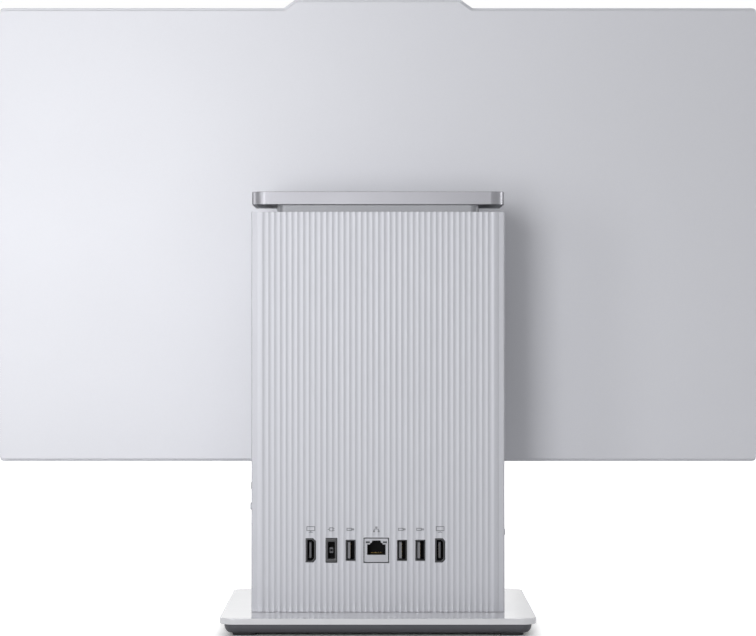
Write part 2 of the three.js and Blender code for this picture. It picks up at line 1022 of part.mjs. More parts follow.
function addSides(group) {
  piece("side_usb_a_socket", sideUsbConnector(), "portBlack", group);
  piece("side_usb_c_socket", sideUsbCConnector(), "portMetal", group);
  piece("audio_jack", audioConnector(), "portBlack", group);
  const mirrored = (solid) => solid.mirror([1, 0, 0]);
  const placed = (name, solid, finish, height) => {
    const mesh = piece(name, solid, finish, group);
    mesh.position.set(0, sideLine, height);
  };
  const { height: powerHeight } = powerButton;
  const { height: sourceHeight } = sourceButton;
  placed("power_button", sideButton(powerButton), "silverPaint", powerHeight);
  placed("power_switch", switchBlock(powerButton), "blackPlastic", powerHeight);
  const source = mirrored(sideButton(sourceButton));
  const sourceSwitch = mirrored(switchBlock(sourceButton));
  placed("source_button", source, "silverPaint", sourceHeight);
  placed("source_switch", sourceSwitch, "blackPlastic", sourceHeight);
  placed("lock_slot_insert", mirrored(lockInsert()), "steel", lockSlot.height);
}

// Main board and its parts

function mainBoard() {
  const plate = block(
    -board.width / 2,
    board.width / 2,
    boardFront,
    boardRear,
    board.lift,
    boardTop,
  );
  return boardBossPlaces().reduce(
    (solid, [x, z]) =>
      solid.subtract(
        rodY(
          board.holeRadius,
          boardFront - fit.overrun,
          boardRear + fit.overrun,
          x,
          z,
          boreSteps,
        ),
      ),
    plate,
  );
}

// A flat part on the board's front face, from its own foot up
function onBoard({ width, height, thickness, foot: low }, x) {
  return block(
    x - width / 2,
    x + width / 2,
    partsFace - thickness,
    partsFace,
    low,
    low + height,
  );
}

function squarePlate(side, front, back) {
  return block(
    -side / 2,
    side / 2,
    front,
    back,
    processor.height - side / 2,
    processor.height + side / 2,
  );
}

// The heat pipe's line: over the cold plate, up beside the blower, through the fins
function pipePath() {
  const low = processor.height;
  const high = finsFoot + fins.height / 2;
  const { bend, startSide, runSide, endSide } = pipe;
  const path = new THREE.CurvePath();
  const at = (x, z) => new THREE.Vector3(x, pipeLine, z);
  const line = (a, b) => path.add(new THREE.LineCurve3(a, b));
  const turn = (a, b, c) => path.add(new THREE.QuadraticBezierCurve3(a, b, c));
  line(at(-startSide, low), at(runSide - bend, low));
  turn(at(runSide - bend, low), at(runSide, low), at(runSide, low + bend));
  line(at(runSide, low + bend), at(runSide, high - bend));
  turn(at(runSide, high - bend), at(runSide, high), at(runSide - bend, high));
  line(at(runSide - bend, high), at(-endSide, high));
  return path;
}

function pipeSolid(radius) {
  const section = new THREE.Shape();
  for (let side = 0; side < pipe.sides; side++) {
    const angle = (side / pipe.sides) * 2 * Math.PI;
    const x = radius * Math.cos(angle);
    const y = radius * Math.sin(angle);
    if (side === 0) section.moveTo(x, y);
    else section.lineTo(x, y);
  }
  section.closePath();
  return solidOf(
    new THREE.ExtrudeGeometry(section, {
      steps: pipe.steps,
      bevelEnabled: false,
      extrudePath: pipePath(),
    }),
  );
}

function finStack() {
  const top = finsFoot + fins.height;
  const half = fins.width / 2;
  const front = partsFace - fins.depth;
  const back = block(-half, half, partsFace - fins.backThickness, partsFace, finsFoot, top);
  const pitch = (fins.width - fins.thickness) / (fins.count - 1);
  const blades = [];
  for (let i = 0; i < fins.count; i++) {
    const x = i * pitch - half;
    blades.push(block(x, x + fins.thickness, front, partsFace, finsFoot, top));
  }
  const middle = finsFoot + fins.height / 2;
  const reach = fins.width / 2 + fit.overrun;
  const bore = rodX(pipe.radius + fit.side, -reach, reach, pipeLine, middle, boreSteps);
  return joined([back, ...blades]).subtract(bore);
}

function blowerHousing() {
  const { width, depth, wall, outletInset } = blower;
  const front = partsFace - depth;
  const middle = blowerFoot + blowerHeight / 2;
  const top = blowerFoot + blowerHeight;
  const box = block(-width / 2, width / 2, front, partsFace, blowerFoot, top);
  const bowl = rodY(bowlRadius, front + wall, partsFace - wall, 0, middle);
  const outlet = block(
    outletInset - width / 2,
    width / 2 - outletInset,
    front + wall,
    partsFace - wall,
    middle,
    top + fit.overrun,
  );
  const inletRadius = bowlRadius * inletShare;
  const inlet = rodY(inletRadius, front - fit.overrun, front + 2 * wall, 0, middle);
  const spindle = rodY(
    blower.spindleRadius,
    front + 2 * wall,
    partsFace - wall + fit.weld,
    0,
    middle,
  );
  return box.subtract(bowl).subtract(outlet).subtract(inlet).add(spindle);
}

// The rotor about its own axis, which runs along Y
function fanRotor() {
  const { wall, depth, runningGap, bladeCount } = blower;
  const rotorRadius = bowlRadius - blower.tipGap;
  const hubRadius = rotorRadius * hubShare;
  const half = depth / 2 - wall - runningGap;
  const hub = rodY(hubRadius, -half, half, 0, 0);
  const blade = block(
    hubRadius - fit.overrun,
    rotorRadius,
    -half,
    half,
    -blower.bladeThickness / 2,
    blower.bladeThickness / 2,
  );
  const blades = [];
  for (let i = 0; i < bladeCount; i++) {
    const leaned = blade
      .translate(-hubRadius, 0, 0)
      .rotate([0, bladeLeanDegrees, 0])
      .translate(hubRadius - fit.overrun, 0, 0);
    blades.push(leaned.rotate([0, (i * 360) / bladeCount, 0]));
  }
  const bore = rodY(blower.spindleRadius + fit.side, -depth, depth, 0, 0);
  return joined([hub, ...blades]).subtract(bore);
}

function addBoard(group) {
  piece("main_board", mainBoard(), "boardGreen", group);
  const chip = squarePlate(processor.side, partsFace - processor.thickness, partsFace);
  piece("processor", chip, "steel", group);
  const plate = squarePlate(coldPlate.side, coldFace - coldPlate.thickness, coldFace);
  piece("cold_plate", plate, "copper", group);
  piece("heat_pipe", pipeSolid(pipe.radius), "copper", group);
  piece("fin_stack", finStack(), "aluminium", group);
  piece("blower_housing", blowerHousing(), "blackPlastic", group);
  const rotor = piece("fan_rotor", fanRotor(), "blackPlastic", group);
  rotor.position.set(0, partsFace - blower.depth / 2, blowerFoot + blowerHeight / 2);
  const { fromCentre } = memory;
  piece("memory_module_left", onBoard(memory, -fromCentre), "boardGreen", group);
  piece("memory_module_right", onBoard(memory, fromCentre), "boardGreen", group);
  piece("solid_state_drive", onBoard(drive, -drive.fromCentre), "blackPlastic", group);
  piece("wireless_card", onBoard(radioCard, radioCard.fromCentre), "portMetal", group);
  const cell = rodY(
    coinCell.radius,
    partsFace - coinCell.thickness,
    partsFace,
    -coinCell.fromCentre,
    processor.height,
  );
  piece("coin_cell", cell, "portMetal", group);
}

// Steel frame, grille and neck

function steelPost() {
  const { width, thickness, returnDepth, footDepth } = steelFrame;
  const front = frontInner + fit.side;
  const head = grilleFoot - fit.seat;
  const low = fit.seat;
  const half = width / 2;
  const back = front + thickness;
  const plate = block(-half, half, front, back, low, head);
  const leftReturn = block(-half, thickness - half, front, front + returnDepth, low, head);
  const rightReturn = block(half - thickness, half, front, front + returnDepth, low, head);
  const floor = block(-half, half, front, front + footDepth, low, low + thickness);
  const shelf = block(
    -steelFrame.headWidth / 2,
    steelFrame.headWidth / 2,
    front,
    neckRear,
    head - steelFrame.headThickness,
    head,
  );
  const holes = [];
  for (let i = 1; i <= steelFrame.holeCount; i++) {
    const z = (head * i) / (steelFrame.holeCount + 1);
    holes.push(
      rodY(steelFrame.holeRadius, front - fit.overrun, back + fit.overrun, 0, z),
    );
  }
  const post = joined([plate, leftReturn, rightReturn, floor, shelf]);
  return holes.reduce((solid, hole) => solid.subtract(hole), post);
}

function neckShape(grow) {
  return roundedShape(
    neck.width + 2 * grow,
    neck.depth + 2 * grow,
    neck.cornerRadius + grow,
  );
}

function topGrille() {
  const front = frontInner + fit.side;
  const rear = rearInner - fit.side;
  const half = innerHalfWidth - fit.side;
  const plate = block(-half, half, front, rear, grilleFoot, grilleTop);
  const opening = prismZ(
    neckShape(fit.side),
    grilleFoot - fit.overrun,
    grilleTop + fit.overrun,
  ).translate(0, neckRear - neck.depth / 2, 0);
  const middle = (half + neck.width / 2 + fit.side) / 2;
  const { slotCount, slotPitch, slotWidth, slotLength } = grille;
  const slots = [];
  for (let i = 0; i < slotCount; i++) {
    const y = (i - (slotCount - 1) / 2) * slotPitch;
    [-middle, middle].forEach((x) =>
      slots.push(
        block(
          x - slotLength / 2,
          x + slotLength / 2,
          y - slotWidth / 2,
          y + slotWidth / 2,
          grilleFoot - fit.overrun,
          grilleTop + fit.overrun,
        ),
      ),
    );
  }
  return slots.reduce((solid, slot) => solid.subtract(slot), plate.subtract(opening));
}

function neckRiser() {
  const low = grilleFoot;
  const high = column.height + cap.gap - fit.seat;
  const padWidth = neck.width - 2 * neck.padInset;
  const padDepth = neck.depth - 2 * neck.padInset;
  const pad = roundedShape(padWidth, padDepth, neck.cornerRadius);
  const padTop = column.height + cap.gap + cap.coverThickness;
  return prismZ(neckShape(0), low, high)
    .add(prismZ(pad, high - fit.weld, padTop))
    .translate(0, neckRear - neck.depth / 2, 0);
}

function addColumn(root) {
  const group = groupAt(0, columnMiddle, baseTop);
  root.add(group);
  piece("column_rear_shell", rearShell(), "flutedSilver", group);
  piece("column_front_shell", frontShell(), "silverPaint", group);
  piece("steel_frame", steelPost(), "steel", group);
  piece("top_grille", topGrille(), "darkPlastic", group);
  piece("neck", neckRiser(), "neckGrey", group);
  addBoard(group);
  addRearSockets(group);
  addSides(group);
}

// Cap, drawn from its underside up and about the column's middle

function capPlate() {
  const { thickness, cornerRadius, bevel, wall, top } = cap;
  const body = roundedStack(column.width, column.depth, cornerRadius, [
    { z: 0, inset: 0 },
    { z: thickness - bevel, inset: 0 },
    { z: thickness, inset: bevel },
  ]);
  const hollow = roundedShape(
    column.width - 2 * wall,
    column.depth - 2 * wall,
    cornerRadius - wall,
  );
  const slotHalf = arm.width / 2 + fit.side;
  const slotFoot = cap.coverThickness;
  const slot = block(
    -slotHalf,
    slotHalf,
    -halfDepth - fit.overrun,
    wall - halfDepth + fit.overrun,
    slotFoot,
    slotFoot + fit.seat + arm.thickness + fit.side,
  );
  return body.subtract(prismZ(hollow, -fit.overrun, thickness - top)).subtract(slot);
}

function capCover() {
  const inset = cap.wall + fit.seat;
  const shape = roundedShape(
    column.width - 2 * inset,
    column.depth - 2 * inset,
    cap.cornerRadius - inset,
  );
  const gap = 2 * (fit.side - neck.padInset);
  const hole = roundedShape(neck.width + gap, neck.depth + gap, neck.cornerRadius);
  const cutter = prismZ(hole, -fit.overrun, cap.coverThickness + fit.overrun);
  return prismZ(shape, 0, cap.coverThickness).subtract(
    cutter.translate(0, neckRear - neck.depth / 2, 0),
  );
}

function armPlate() {
  const low = cap.coverThickness + fit.seat;
  return block(
    -arm.width / 2,
    arm.width / 2,
    axisY - columnMiddle - arm.reachPastAxis,
    halfDepth - arm.rearInset,
    low,
    low + arm.thickness,
  );
}

function addCap(root) {
  const group = groupAt(0, columnMiddle, capBottom);
  root.add(group);
  piece("cap_plate", capPlate(), "anodised", group);
  piece("cap_underside_cover", capCover(), "darkPlastic", group);
  piece("stand_arm", armPlate(), "steel", group);
}

// Tilt hinge, drawn about its axis, on the right side and mirrored for the left

function armFoot() {
  return capBottom + cap.coverThickness + fit.seat - axisZ;
}

function fixedEar() {
  const { earThickness, earGap, earRadius, movingEarPlace, flangeThickness } = hinge;
  const x0 = movingEarPlace + earThickness / 2 + earGap;
  const x1 = x0 + earThickness;
  const top = armFoot() - fit.seat;
  const flange = block(
    x0,
    x0 + hinge.flangeWidth,
    -hinge.flangeFront,
    hinge.flangeRear,
    top - flangeThickness,
    top,
  );
  const web = block(x0, x1, -earRadius + fit.weld, earRadius - fit.weld, 0, top - fit.weld);
  const eye = rodX(earRadius, x0, x1, 0, 0);
  const bore = rodX(
    hinge.shaftRadius + fit.running,
    x0 - fit.overrun,
    x1 + fit.overrun,
    0,
    0,
  );
  const webShort = web.subtract(
    block(
      x0 - fit.overrun,
      x1 + fit.overrun,
      -earRadius - fit.overrun,
      -hinge.flangeFront,
      top - flangeThickness,
      top,
    ),
  );
  return joined([flange, webShort, eye]).subtract(bore);
}

// Head, shoulder between the ears, and nut, in one turned profile along the axis
function tiltShaft() {
  const { shaftRadius, headRadius, headThickness, nutThickness } = hinge;
  const { earThickness, earGap, movingEarPlace, washerThickness, washerCount } = hinge;
  const ear0 = movingEarPlace - earThickness / 2 - fit.seat;
  const ear1 = movingEarPlace + earThickness / 2 + fit.seat;
  const fixed0 = ear1 - fit.seat + earGap - fit.seat;
  const fixed1 = fixed0 + 2 * fit.seat + earThickness;
  const washers1 = fixed1 + washerCount * washerThickness + fit.seat;
  const profile = [
    [0, ear0 - headThickness],
    [headRadius, ear0 - headThickness],
    [headRadius, ear0],
    [shaftRadius, ear0],
    [shaftRadius, ear1],
    [headRadius, ear1],
    [headRadius, fixed0],
    [shaftRadius, fixed0],
    [shaftRadius, washers1],
    [headRadius, washers1],
    [headRadius, washers1 + nutThickness],
    [0, washers1 + nutThickness],
  ];
  return turnedX(profile);
}

// A profile of radius and place along X, turned about the X axis
function turnedX(profile) {
  const points = profile.map(([radius, along]) => new THREE.Vector2(radius, along));
  const lathe = new THREE.LatheGeometry(points, roundSteps);
  lathe.rotateZ(-Math.PI / 2);
  return solidOf(lathe);
}

// A pack of dished washers on the shaft, outside the fixed ear
function washerPack() {
  const { shaftRadius, headRadius, washerThickness, washerCount, washerCrown } = hinge;
  const { earThickness, earGap, movingEarPlace } = hinge;
  const start = movingEarPlace + 1.5 * earThickness + earGap + fit.seat;
  const bore = shaftRadius + fit.running;
  const rim = headRadius + 2 * fit.running;
  const profile = [[bore, start]];
  for (let i = 0; i < washerCount; i++) {
    const low = start + i * washerThickness;
    profile.push([rim - washerCrown, low]);
    profile.push([rim, low + washerThickness / 2]);
  }
  const end = start + washerCount * washerThickness;
  profile.push([rim - washerCrown, end]);
  profile.push([bore, end]);
  profile.push([bore, start]);
  return turnedX(profile);
}

function displayBracket() {
  const { behindScreen, plateThickness, earThickness, earRadius } = hinge;
  const face = fit.seat - behindScreen;
  const back = face + plateThickness;
  const half = hinge.plateWidth / 2;
  const plate = block(-half, half, face, back, -hinge.plateBelow, hinge.plateAbove);
  const ears = [-hinge.movingEarPlace, hinge.movingEarPlace].map((x) => {
    const x0 = x - earThickness / 2;
    const x1 = x + earThickness / 2;
    const bore = rodX(
      hinge.shaftRadius + fit.running,
      x0 - fit.overrun,
      x1 + fit.overrun,
      0,
      0,
    );
    const web = block(x0, x1, back - fit.weld, 0, -earRadius, hinge.plateAbove);
    return web.add(rodX(earRadius, x0, x1, 0, 0)).subtract(bore);
  });
  return joined([plate, ...ears]);
}

function hingeHousing() {
  const { width, wall, frontReach, bottomDrop, cornerRadius } = hingeCover;
  const inner = width / 2 - wall;
  const armTop = armFoot() + arm.thickness;
  const roof = armTop + fit.side;
  const rear = columnMiddle - halfDepth - fit.side - axisY;
  const height = roof + wall + bottomDrop;
  const outline = roundedShape(width, height, cornerRadius);
  const body = prismY(outline, -frontReach, rear).translate(0, 0, height / 2 - bottomDrop);
  const hollow = block(
    -inner,
    inner,
    -frontReach - fit.overrun,
    rear - wall,
    wall - bottomDrop,
    roof,
  );
  const slotHalf = arm.width / 2 + fit.side;
  const slot = block(
    -slotHalf,
    slotHalf,
    rear - wall - fit.overrun,
    rear + fit.overrun,
    armFoot() - fit.side,
    roof,
  );
  return body.subtract(hollow).subtract(slot);
}

function addHinge(root) {
  const group = groupAt(0, axisY, axisZ);
  root.add(group);
  const pair = (name, solid, finish) => {
    piece(name + "_right", solid, finish, group);
    piece(name + "_left", solid.mirror([1, 0, 0]), finish, group);
  };
  pair("hinge_ear", fixedEar(), "steel");
  pair("tilt_shaft", tiltShaft(), "steel");
  pair("friction_washers", washerPack(), "steel");
  piece("hinge_bracket", displayBracket(), "steel", group);
  piece("hinge_cover", hingeHousing(), "silverPaint", group);
}

// Screen, drawn from its lower edge up and from its front face back

// The screen's outline with the camera bump, drawn in by an inset on each side
function screenPoints(top, bottom, side) {
  const half = display.width / 2 - side;
  const low = bottom;
  const high = display.height - top;
  const lowerHalf = display.bumpLowerWidth / 2;
  const upperHalf = display.bumpUpperWidth / 2;
  const slope = Math.atan2(display.bumpHeight, lowerHalf - upperHalf);
  const shift = top * Math.tan(slope / 2);
  const crown = high + display.bumpHeight;
  const radius = display.cornerRadius;
  const points = [];
  const corner = (x, z, quarter) => {
    for (let step = 0; step <= cornerSteps; step++) {
      const angle = ((quarter + step / cornerSteps) * Math.PI) / 2;
      points.push(
        new THREE.Vector2(x + radius * Math.cos(angle), z + radius * Math.sin(angle)),
      );
    }
  };
  corner(half - radius, high - radius, 0);
  points.push(new THREE.Vector2(lowerHalf - shift, high));
  points.push(new THREE.Vector2(upperHalf - shift, crown));
  points.push(new THREE.Vector2(shift - upperHalf, crown));
  points.push(new THREE.Vector2(shift - lowerHalf, high));
  corner(radius - half, high - radius, 1);
  corner(radius - half, low + radius, 2);
  corner(half - radius, low + radius, 3);
  return points;
}

function screenPrism(top, bottom, side, y0, y1) {
  return prismY(new THREE.Shape(screenPoints(top, bottom, side)), y0, y1);
}

function windowBox(margin, y0, y1) {
  const half = display.width / 2 - panel.sideBorder + margin;
  const top = display.height - panel.topBorder + margin;
  return block(-half, half, y0, y1, panel.chin - margin, top);
}

function lensHeight() {
  const top = display.height + display.bumpHeight - display.insetTop - display.seatWidth;
  return top - fit.side - camera.boardHeight / 2;
}

function frontFrame() {
  const { frameDepth, lip, insetTop, insetBottom, insetSide, seatWidth } = display;
  const outer = screenPrism(0, 0, 0, 0, frameDepth);
  const hollow = screenPrism(
    insetTop + seatWidth,
    insetBottom + seatWidth,
    insetSide + seatWidth,
    lip,
    frameDepth + fit.overrun,
  );
  const opening = windowBox(0, -fit.overrun, lip + fit.overrun);
  const z = lensHeight();
  const lens = rodY(camera.holeRadius, -fit.overrun, lip + fit.overrun, 0, z);
  const knobFar = shutter.restEdge + shutter.width - shutter.knobWidth + fit.side;
  const knobNear = knobFar - shutter.knobWidth - shutter.travel - 2 * fit.side;
  const slot = block(
    knobNear,
    knobFar,
    -fit.overrun,
    lip + fit.overrun,
    z - shutter.knobHeight / 2 - fit.side,
    z + shutter.knobHeight / 2 + fit.side,
  );
  const cuts = [hollow, opening, lens, slot, ...speakerMouths()];
  return cuts.reduce((frame, cut) => frame.subtract(cut), outer);
}

// Drawn front to back along Z, then turned so that its depth runs along Y
function backCover() {
  const { frameDepth, depth, insetTop, insetBottom, insetSide, coverWall } = display;
  const front = frameDepth + fit.seat;
  const levels = coverDepthShares.map((share, i) => {
    const inset = coverRoundShares[i] * display.coverRound;
    return {
      z: -(front + share * (depth - front)),
      points: screenPoints(insetTop + inset, insetBottom + inset, insetSide + inset),
    };
  });
  const shell = stacked(levels.reverse());
  shell.rotateX(Math.PI / 2);
  const hollow = screenPrism(
    insetTop + coverWall,
    insetBottom + coverWall,
    insetSide + coverWall,
    front - fit.overrun,
    depth - coverWall,
  );
  return solidOf(shell).subtract(hollow);
}

function chassisPlate(front) {
  const { chassisFoot, chassisThickness } = panel;
  const half = display.width / 2 - panel.chassisSide;
  const chassisHeight = display.height - panel.chassisTop - chassisFoot;
  const rear = front + chassisThickness;
  const plate = block(-half, half, front, rear, chassisFoot, chassisFoot + chassisHeight);
  const bossEnd = display.depth - display.coverWall - fit.seat;
  const high = chassisHeight - panel.bossInsetZ;
  const across = half - panel.bossInsetX;
  const bosses = [
    [-across, panel.bossInsetZ],
    [across, panel.bossInsetZ],
    [-across, high],
    [across, high],
    [-hinge.movingEarPlace, display.axisHeight - chassisFoot],
    [hinge.movingEarPlace, display.axisHeight - chassisFoot],
  ].map(([x, z]) =>
    rodY(panel.bossRadius, rear - fit.weld, bossEnd, x, chassisFoot + z, boreSteps),
  );
  return joined([plate, ...bosses]);
}

// The middles of a speaker's slots along X, about the speaker's own centre
function speakerSlots() {
  const pitch = speaker.width / speaker.grilleCount;
  const places = [];
  for (let i = 0; i < speaker.grilleCount; i++) {
    places.push((i + 1 / 2) * pitch - speaker.width / 2);
  }
  return places;
}

// Slots through the frame's lower edge, under each speaker's own slots
function speakerMouths() {
  const front = display.lip + fit.seat + speaker.depth / 4;
  const reach = display.insetBottom + display.seatWidth + fit.overrun;
  return [-speakerPlace, speakerPlace].flatMap((centre) =>
    speakerSlots().map((x) =>
      block(
        centre + x - speaker.grilleSlot / 2,
        centre + x + speaker.grilleSlot / 2,
        front,
        front + speaker.mouthDepth,
        -fit.overrun,
        reach,
      ),
    ),
  );
}

function speakerBox() {
  const front = display.lip + fit.seat;
  const low = display.insetBottom + display.coverWall + fit.side;
  const half = speaker.width / 2;
  const box = block(
    -half,
    half,
    front,
    front + speaker.depth,
    low,
    low + speaker.height,
  );
  const slots = speakerSlots().map((x) =>
    block(
      x - speaker.grilleSlot / 2,
      x + speaker.grilleSlot / 2,
      front + speaker.depth / 4,
      front + (speaker.depth * 3) / 4,
      low - fit.overrun,
      low + speaker.height / 2,
    ),
  );
  return slots.reduce((solid, slot) => solid.subtract(slot), box);
}

function cameraModule() {
  const { boardWidth, boardHeight, boardDepth, lensRadius, lensReach } = camera;
  const z = lensHeight();
  const front = display.lip + camera.behindLip;
  const body = block(
    -boardWidth / 2,
    boardWidth / 2,
    front,
    front + boardDepth,
    z - boardHeight / 2,
    z + boardHeight / 2,
  );
  return body.add(rodY(lensRadius, front - lensReach, front + fit.weld, 0, z));
}

function shutterBlade() {
  const { width, height, thickness, knobWidth, knobHeight, knobReach } = shutter;
  const z = lensHeight();
  const x0 = shutter.restEdge;
  const front = display.lip + fit.seat;
  const blade = block(
    x0,
    x0 + width,
    front,
    front + thickness,
    z - height / 2,
    z + height / 2,
  );
  const knobEnd = x0 + width - knobWidth;
  const knob = block(
    knobEnd - knobWidth,
    knobEnd,
    -knobReach,
    front + fit.seat,
    z - knobHeight / 2,
    z + knobHeight / 2,
  );
  return blade.add(knob);
}

function addScreen(root) {
  const group = groupAt(0, screenFront, screenFoot);
  root.add(group);
  piece("front_frame", frontFrame(), "silverPaint", group);
  piece("back_cover", backCover(), "silverPaint", group);
  const cellFront = display.lip + fit.seat;
  const cellRear = cellFront + panel.cellThickness;
  const lightFront = cellRear + fit.seat;
  const lightRear = lightFront + panel.lightThickness;
  const chassisFront = lightRear + fit.seat;
  const boardAt = chassisFront + panel.chassisThickness + fit.seat;
  piece("lcd_cell", windowBox(panel.margin, cellFront, cellRear), "screenGlass", group);
  const light = windowBox(panel.margin, lightFront, lightRear);
  piece("backlight_unit", light, "aluminium", group);
  piece("display_chassis", chassisPlate(chassisFront), "steel", group);
  const { width, height, thickness, fromCentre, fromFoot } = driverBoard;
  const driver = block(
    -fromCentre - width / 2,
    width / 2 - fromCentre,
    boardAt,
    boardAt + thickness,
    panel.chassisFoot + fromFoot - height / 2,
    panel.chassisFoot + fromFoot + height / 2,
  );
  piece("display_driver_board", driver, "boardGreen", group);
  const left = piece("speaker_left", speakerBox(), "blackPlastic", group);
  left.position.x = -speakerPlace;
  const right = piece("speaker_right", speakerBox(), "blackPlastic", group);
  right.position.x = speakerPlace;
  piece("camera_module", cameraModule(), "blackPlastic", group);
  piece("camera_shutter", shutterBlade(), "blackPlastic", group);
}

function allInOneComputer() {
  const root = new THREE.Group();
  addBase(root);
  addColumn(root);
  addCap(root);
  addHinge(root);
  addScreen(root);
  return root;
}

export default allInOneComputer();
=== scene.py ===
import json
import math

import bmesh
import bpy
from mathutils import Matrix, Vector


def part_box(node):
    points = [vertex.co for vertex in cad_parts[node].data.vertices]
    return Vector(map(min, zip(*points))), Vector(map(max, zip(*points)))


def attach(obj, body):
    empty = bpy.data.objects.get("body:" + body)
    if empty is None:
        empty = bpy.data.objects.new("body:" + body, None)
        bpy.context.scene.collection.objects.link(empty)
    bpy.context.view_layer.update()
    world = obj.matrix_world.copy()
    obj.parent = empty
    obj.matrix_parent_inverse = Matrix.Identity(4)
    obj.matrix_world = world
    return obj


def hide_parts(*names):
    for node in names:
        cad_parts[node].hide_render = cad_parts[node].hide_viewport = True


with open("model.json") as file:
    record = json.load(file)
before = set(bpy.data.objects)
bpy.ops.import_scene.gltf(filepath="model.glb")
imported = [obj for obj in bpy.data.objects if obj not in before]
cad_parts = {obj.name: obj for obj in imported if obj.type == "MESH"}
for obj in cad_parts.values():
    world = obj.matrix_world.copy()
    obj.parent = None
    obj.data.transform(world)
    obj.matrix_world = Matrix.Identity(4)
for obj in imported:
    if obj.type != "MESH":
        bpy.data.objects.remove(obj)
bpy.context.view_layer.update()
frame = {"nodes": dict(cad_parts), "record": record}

# Metres, +Z up. The screen faces -Y and the rear sockets face +Y.
mm = 0.001
past = 1 * mm  # how far a cut runs past the wall that it opens
nodes = frame["nodes"]


# Small tools

def srgb(hexColour):
    # a hex sRGB colour as linear red, green, blue and alpha
    channels = [int(hexColour[i:i + 2], 16) / 255 for i in (1, 3, 5)]
    linear = [c / 12.92 if c <= 0.04045 else ((c + 0.055) / 1.055) ** 2.4 for c in channels]
    return (*linear, 1.0)


def addNode(tree, kind, settings=None, inputs=None):
    node = tree.nodes.new(kind)
    for key, value in (settings or {}).items():
        setattr(node, key, value)
    for key, value in (inputs or {}).items():
        if isinstance(value, bpy.types.NodeSocket):
            tree.links.new(value, node.inputs[key])
        else:
            node.inputs[key].default_value = value
    return node


def newMaterial(name):
    material = bpy.data.materials.new(name)
    material.use_nodes = True
    return material, material.node_tree, material.node_tree.nodes["Principled BSDF"]


def nodeSpan(name):
    # a CAD node's lowest and highest x, y and z
    low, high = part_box(name)
    return low.x, high.x, low.y, high.y, low.z, high.z


def nodeMiddle(name):
    # the middle of a CAD node in x and z
    x0, x1, _, _, z0, z1 = nodeSpan(name)
    return (x0 + x1) / 2, (z0 + z1) / 2


def ringAt(axis, outline, w):
    # an outline's points (u, v) at the place w along the axis
    return [{"X": (w, u, v), "Y": (u, w, v), "Z": (u, v, w)}[axis] for u, v in outline]


def spread(middle, count, pitch):
    # the places of a row of things about its middle
    return [middle + (i - (count - 1) / 2) * pitch for i in range(count)]


def roundedOutline(u0, u1, v0, v1, radius, steps=8, lowRadius=None):
    # anticlockwise from the upper right corner
    low = radius if lowRadius is None else lowRadius
    points = []
    corners = [(u1 - radius, v1 - radius, radius), (u0 + radius, v1 - radius, radius),
               (u0 + low, v0 + low, low), (u1 - low, v0 + low, low)]
    for quarter, (u, v, size) in enumerate(corners):
        for step in range(steps + 1):
            angle = (quarter + step / steps) * math.pi / 2
            points.append((u + size * math.cos(angle), v + size * math.sin(angle)))
    return points


def centredOutline(u, v, wide, tall, radius, steps=8):
    return roundedOutline(u - wide / 2, u + wide / 2, v - tall / 2, v + tall / 2, radius, steps)


def nodeOutline(axis, name, grow, radius, steps=8, lowRadius=None):
    # a CAD node's outline seen along Z or Y, moved out on each side
    x0, x1, y0, y1, z0, z1 = nodeSpan(name)
    v0, v1 = (y0, y1) if axis == "Z" else (z0, z1)
    return roundedOutline(x0 - grow, x1 + grow, v0 - grow, v1 + grow, radius, steps, lowRadius)


def circleOutline(u, v, radius, steps=32):
    angles = [2 * math.pi * step / steps for step in range(steps)]
    return [(u + radius * math.cos(a), v + radius * math.sin(a)) for a in angles]


def insetOutline(points, distance):
    # each side of an anticlockwise outline moved in by the distance
    if abs(distance) < 1e-9:
        return list(points)
    moved = []
    count = len(points)
    for i in range(count):
        before, here, after = (Vector(points[(i + k) % count]) for k in (-1, 0, 1))
        a = (here - before).normalized()
        b = (after - here).normalized()
        normalA = Vector((-a.y, a.x))
        normalB = Vector((-b.y, b.x))
        middle = (normalA + normalB).normalized()
        reach = distance / max(middle.dot(normalA), 0.3)
        moved.append(tuple(here + middle * reach))
    return moved


def meshPiece(name, corners, faces):
    mesh = bpy.data.meshes.new(name)
    mesh.from_pydata(corners, [], faces)
    work = bmesh.new()
    work.from_mesh(mesh)
    bmesh.ops.recalc_face_normals(work, faces=work.faces)
    work.to_mesh(mesh)
    work.free()
    piece = bpy.data.objects.new(name, mesh)
    bpy.context.scene.collection.objects.link(piece)
    return piece


def lofted(name, rings):
    # a closed solid through rings of equally many points
    count = len(rings[0])
    corners = [point for ring in rings for point in ring]
    faces = []
    for level in range(len(rings) - 1):
        for i in range(count):
            a = level * count + i
            b = level * count + (i + 1) % count
            faces.append((a, b, b + count, a + count))
    last = (len(rings) - 1) * count
    faces.append(tuple(range(count)))
    faces.append(tuple(range(last, last + count)))
    return meshPiece(name, corners, faces)


def roundedLevels(w0, w1, edge0, edge1, steps=4):
    # places along a prism and the inset there, so that both its ends are rounded
    levels = []
    for edge, end, way in ((edge0, w0, 1), (edge1, w1, -1)):
        side = []
        if edge:
            for step in range(steps + 1):
                angle = step / steps * math.pi / 2
                side.append((end + way * edge * (1 - math.cos(angle)), edge * (1 - math.sin(angle))))
        else:
            side.append((end, 0))
        levels += side if way == 1 else side[::-1]
    return levels


def prism(name, axis, outline, w0, w1, edge0=0.0, edge1=0.0, steps=4):
    rings = []
    for w, inset in roundedLevels(w0, w1, edge0, edge1, steps):
        rings.append(ringAt(axis, insetOutline(outline, inset), w))
    return lofted(name, rings)


